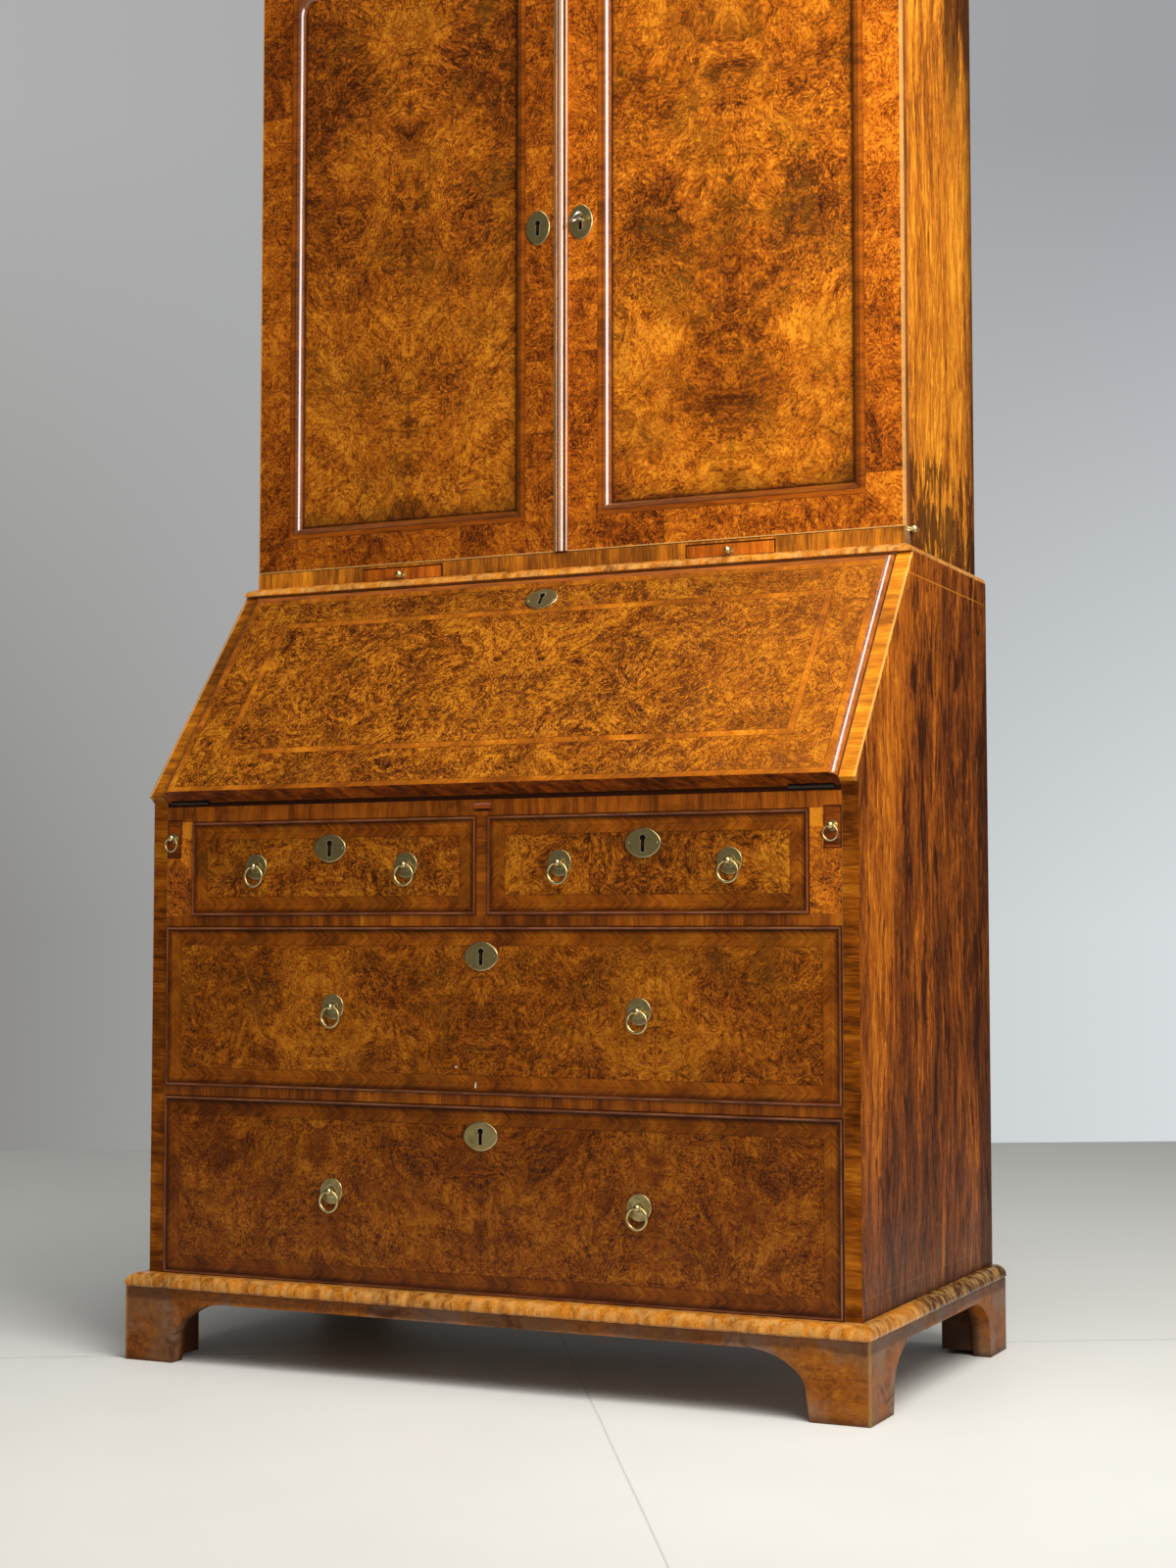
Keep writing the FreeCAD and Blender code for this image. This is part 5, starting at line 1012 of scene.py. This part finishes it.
# The pins: how far each lies from its plate's middle, then where the plates and their faces are
FALL_PIN_SPACING, FALL_PLATE_DROP, FALL_PLATE_FACE = 0.0185, 0.045, 0.0250
PIN_SPACING, PLATE_FACE = 0.019, 0.0021
pin_brass = brass("pin_brass", 0.9)
slope_out = Vector((0, -math.sin(SLOPE), math.cos(SLOPE)))
slope_up = Vector((0, math.cos(SLOPE), math.sin(SLOPE)))
for side, hand in (("left", -1), ("right", 1)):
    place = Vector((FALL_MIDDLE + FALL_PIN_SPACING * hand, FALL_FOOT.y, FALL_FOOT.z))
    place += slope_up * (FALL_LENGTH - FALL_PLATE_DROP) + slope_out * FALL_PLATE_FACE
    turned_pin(f"fall_plate_pin_{side}", place, slope_out, 0.0016, 0.0009, "fall", pin_brass)
    for name, (x, z) in DRAWER_PLATES.items():
        place = Vector((x + PIN_SPACING * hand, FRONT - PLATE_FACE, z))
        turned_pin(f"{name}_pin_{side}", place, Vector((0, -1, 0)), 0.0010, 0.0004, name, pin_brass)


# Room, light and camera

CAMERA = Vector((1.4064, -2.9163, 0.5656))
CAMERA_LENS = 54.72
CAMERA_TURN = math.radians(25.33)
CAMERA_TILT = math.radians(3.53)
ROOM_TURN = math.radians(30.5)
FLOOR_HALF = 3.08


def painted_floor():
    """Pale painted boards with faint joints and small marks."""
    mesh = bpy.data.meshes.new("floor")
    half = FLOOR_HALF
    corners = [(-half, -half, 0), (half, -half, 0), (half, half, 0), (-half, half, 0)]
    mesh.from_pydata(corners, [], [(0, 1, 2, 3)])
    floor = placed("floor", mesh)
    floor.rotation_euler.z = ROOM_TURN
    floor.location.z = -0.0004
    g = Graph("floor_paint")
    wander = g.noise(g.place, 3, 2, 0.5) * 0.004
    joints = line_at(g, g.x + wander, 0.0, 0.0012)
    joints = joints.most(line_at(g, g.y + wander, 0.04, 0.0040) * 0.7)
    chips = g.step(g.noise(g.place, 60, 4, 0.6), 0.72, 0.76)
    chips = chips * g.step(g.noise(g.place, 6, 3, 0.6), 0.55, 0.65)
    cloud = g.noise(g.place, 2.2, 4, 0.6)
    colour = g.mix(cloud, (0.80, 0.80, 0.755), (0.85, 0.85, 0.815))
    colour = g.mix((joints * 0.35).most(chips * 0.3), colour, (0.28, 0.27, 0.25))
    roughness = 0.42 + cloud * 0.2
    mesh.materials.append(g.finish(colour, roughness, g.bump(cloud - joints, 0.1, 0.001)))


def soft_box(name, place, aim, width, height, power, colour):
    """A large soft lamp that points at a place."""
    light = bpy.data.lights.new(name, "AREA")
    light.shape = "RECTANGLE"
    light.size = width
    light.size_y = height
    light.energy = power
    light.color = colour
    lamp = placed(name, light)
    lamp.location = place
    lamp.rotation_euler = (Vector(aim) - Vector(place)).to_track_quat("-Z", "Y").to_euler()


def grey_room():
    """The world: soft light that comes mostly from the right, and a grey wall where it is seen."""
    g = Graph("room", "worlds", "Generated")
    bpy.context.scene.world = g.owner

    def toward(direction, start, end, low=0.0, high=1.0):
        """Goes from low to high as a look's share along a direction goes from start to end."""
        share = g.add("ShaderNodeVectorMath", operation="DOT_PRODUCT")
        g.feed(share.inputs[0], g.place)
        share.inputs[1].default_value = direction
        look = Signal(g, share.outputs["Value"])
        spread = g.add("ShaderNodeMapRange")
        for socket, number in zip(spread.inputs, (look, start, end, low, high)):
            g.feed(socket, number)
        return Signal(g, spread.outputs[0])

    # The wall's light and shade are painted in: lighter upwards on the left, darker upwards on the right
    up = toward((0, 0, 1), 0.0, 0.32)
    left = g.mix(up, (0.27, 0.265, 0.25), (0.43, 0.43, 0.43))
    right = g.mix(up, (0.68, 0.72, 0.74), (0.34, 0.35, 0.37))
    across = toward((math.cos(CAMERA_TURN), math.sin(CAMERA_TURN), 0), -0.24, 0.24)
    seen = g.add("ShaderNodeBackground")
    g.feed(seen.inputs["Color"], g.mix(across, left, right))
    light = g.add("ShaderNodeBackground")
    g.feed(light.inputs["Color"], (1.0, 0.98, 0.95))
    g.feed(light.inputs["Strength"], toward((0.88, -0.40, 0.25), -0.4, 1.0, 0.05, 0.34))
    path = g.add("ShaderNodeLightPath")
    shown = Signal(g, path.outputs["Is Camera Ray"])
    behind = toward((-math.sin(CAMERA_TURN), math.cos(CAMERA_TURN), 0.0), 0.86, 0.96)
    for kind in ("Is Glossy Ray", "Is Transmission Ray"):
        shown = shown.most(Signal(g, path.outputs[kind]) * behind)
    mix = g.add("ShaderNodeMixShader")
    g.feed(mix.inputs[0], shown)
    g.tree.links.new(light.outputs[0], mix.inputs[1])
    g.tree.links.new(seen.outputs[0], mix.inputs[2])
    output = g.add("ShaderNodeOutputWorld")
    g.tree.links.new(mix.outputs[0], output.inputs[0])


painted_floor()
grey_room()
soft_box(
    "key", place=(1.30, -0.95, 1.95), aim=(0.25, 0.0, 1.65),
    width=1.3, height=1.5, power=52, colour=(1.0, 0.97, 0.93),
)
soft_box(
    "overhead", place=(0.9, -1.0, 6.5), aim=(0.9, -1.0, 0.0),
    width=2.8, height=3.2, power=200, colour=(0.98, 0.99, 0.985),
)

camera = bpy.data.cameras.new("camera")
camera.lens = CAMERA_LENS
camera.sensor_width = 36
viewer = placed("camera", camera)
viewer.location = CAMERA
viewer.rotation_euler = (math.pi / 2 + CAMERA_TILT, 0, CAMERA_TURN)
bpy.context.scene.camera = viewer
bpy.context.scene.view_settings.view_transform = "Standard"
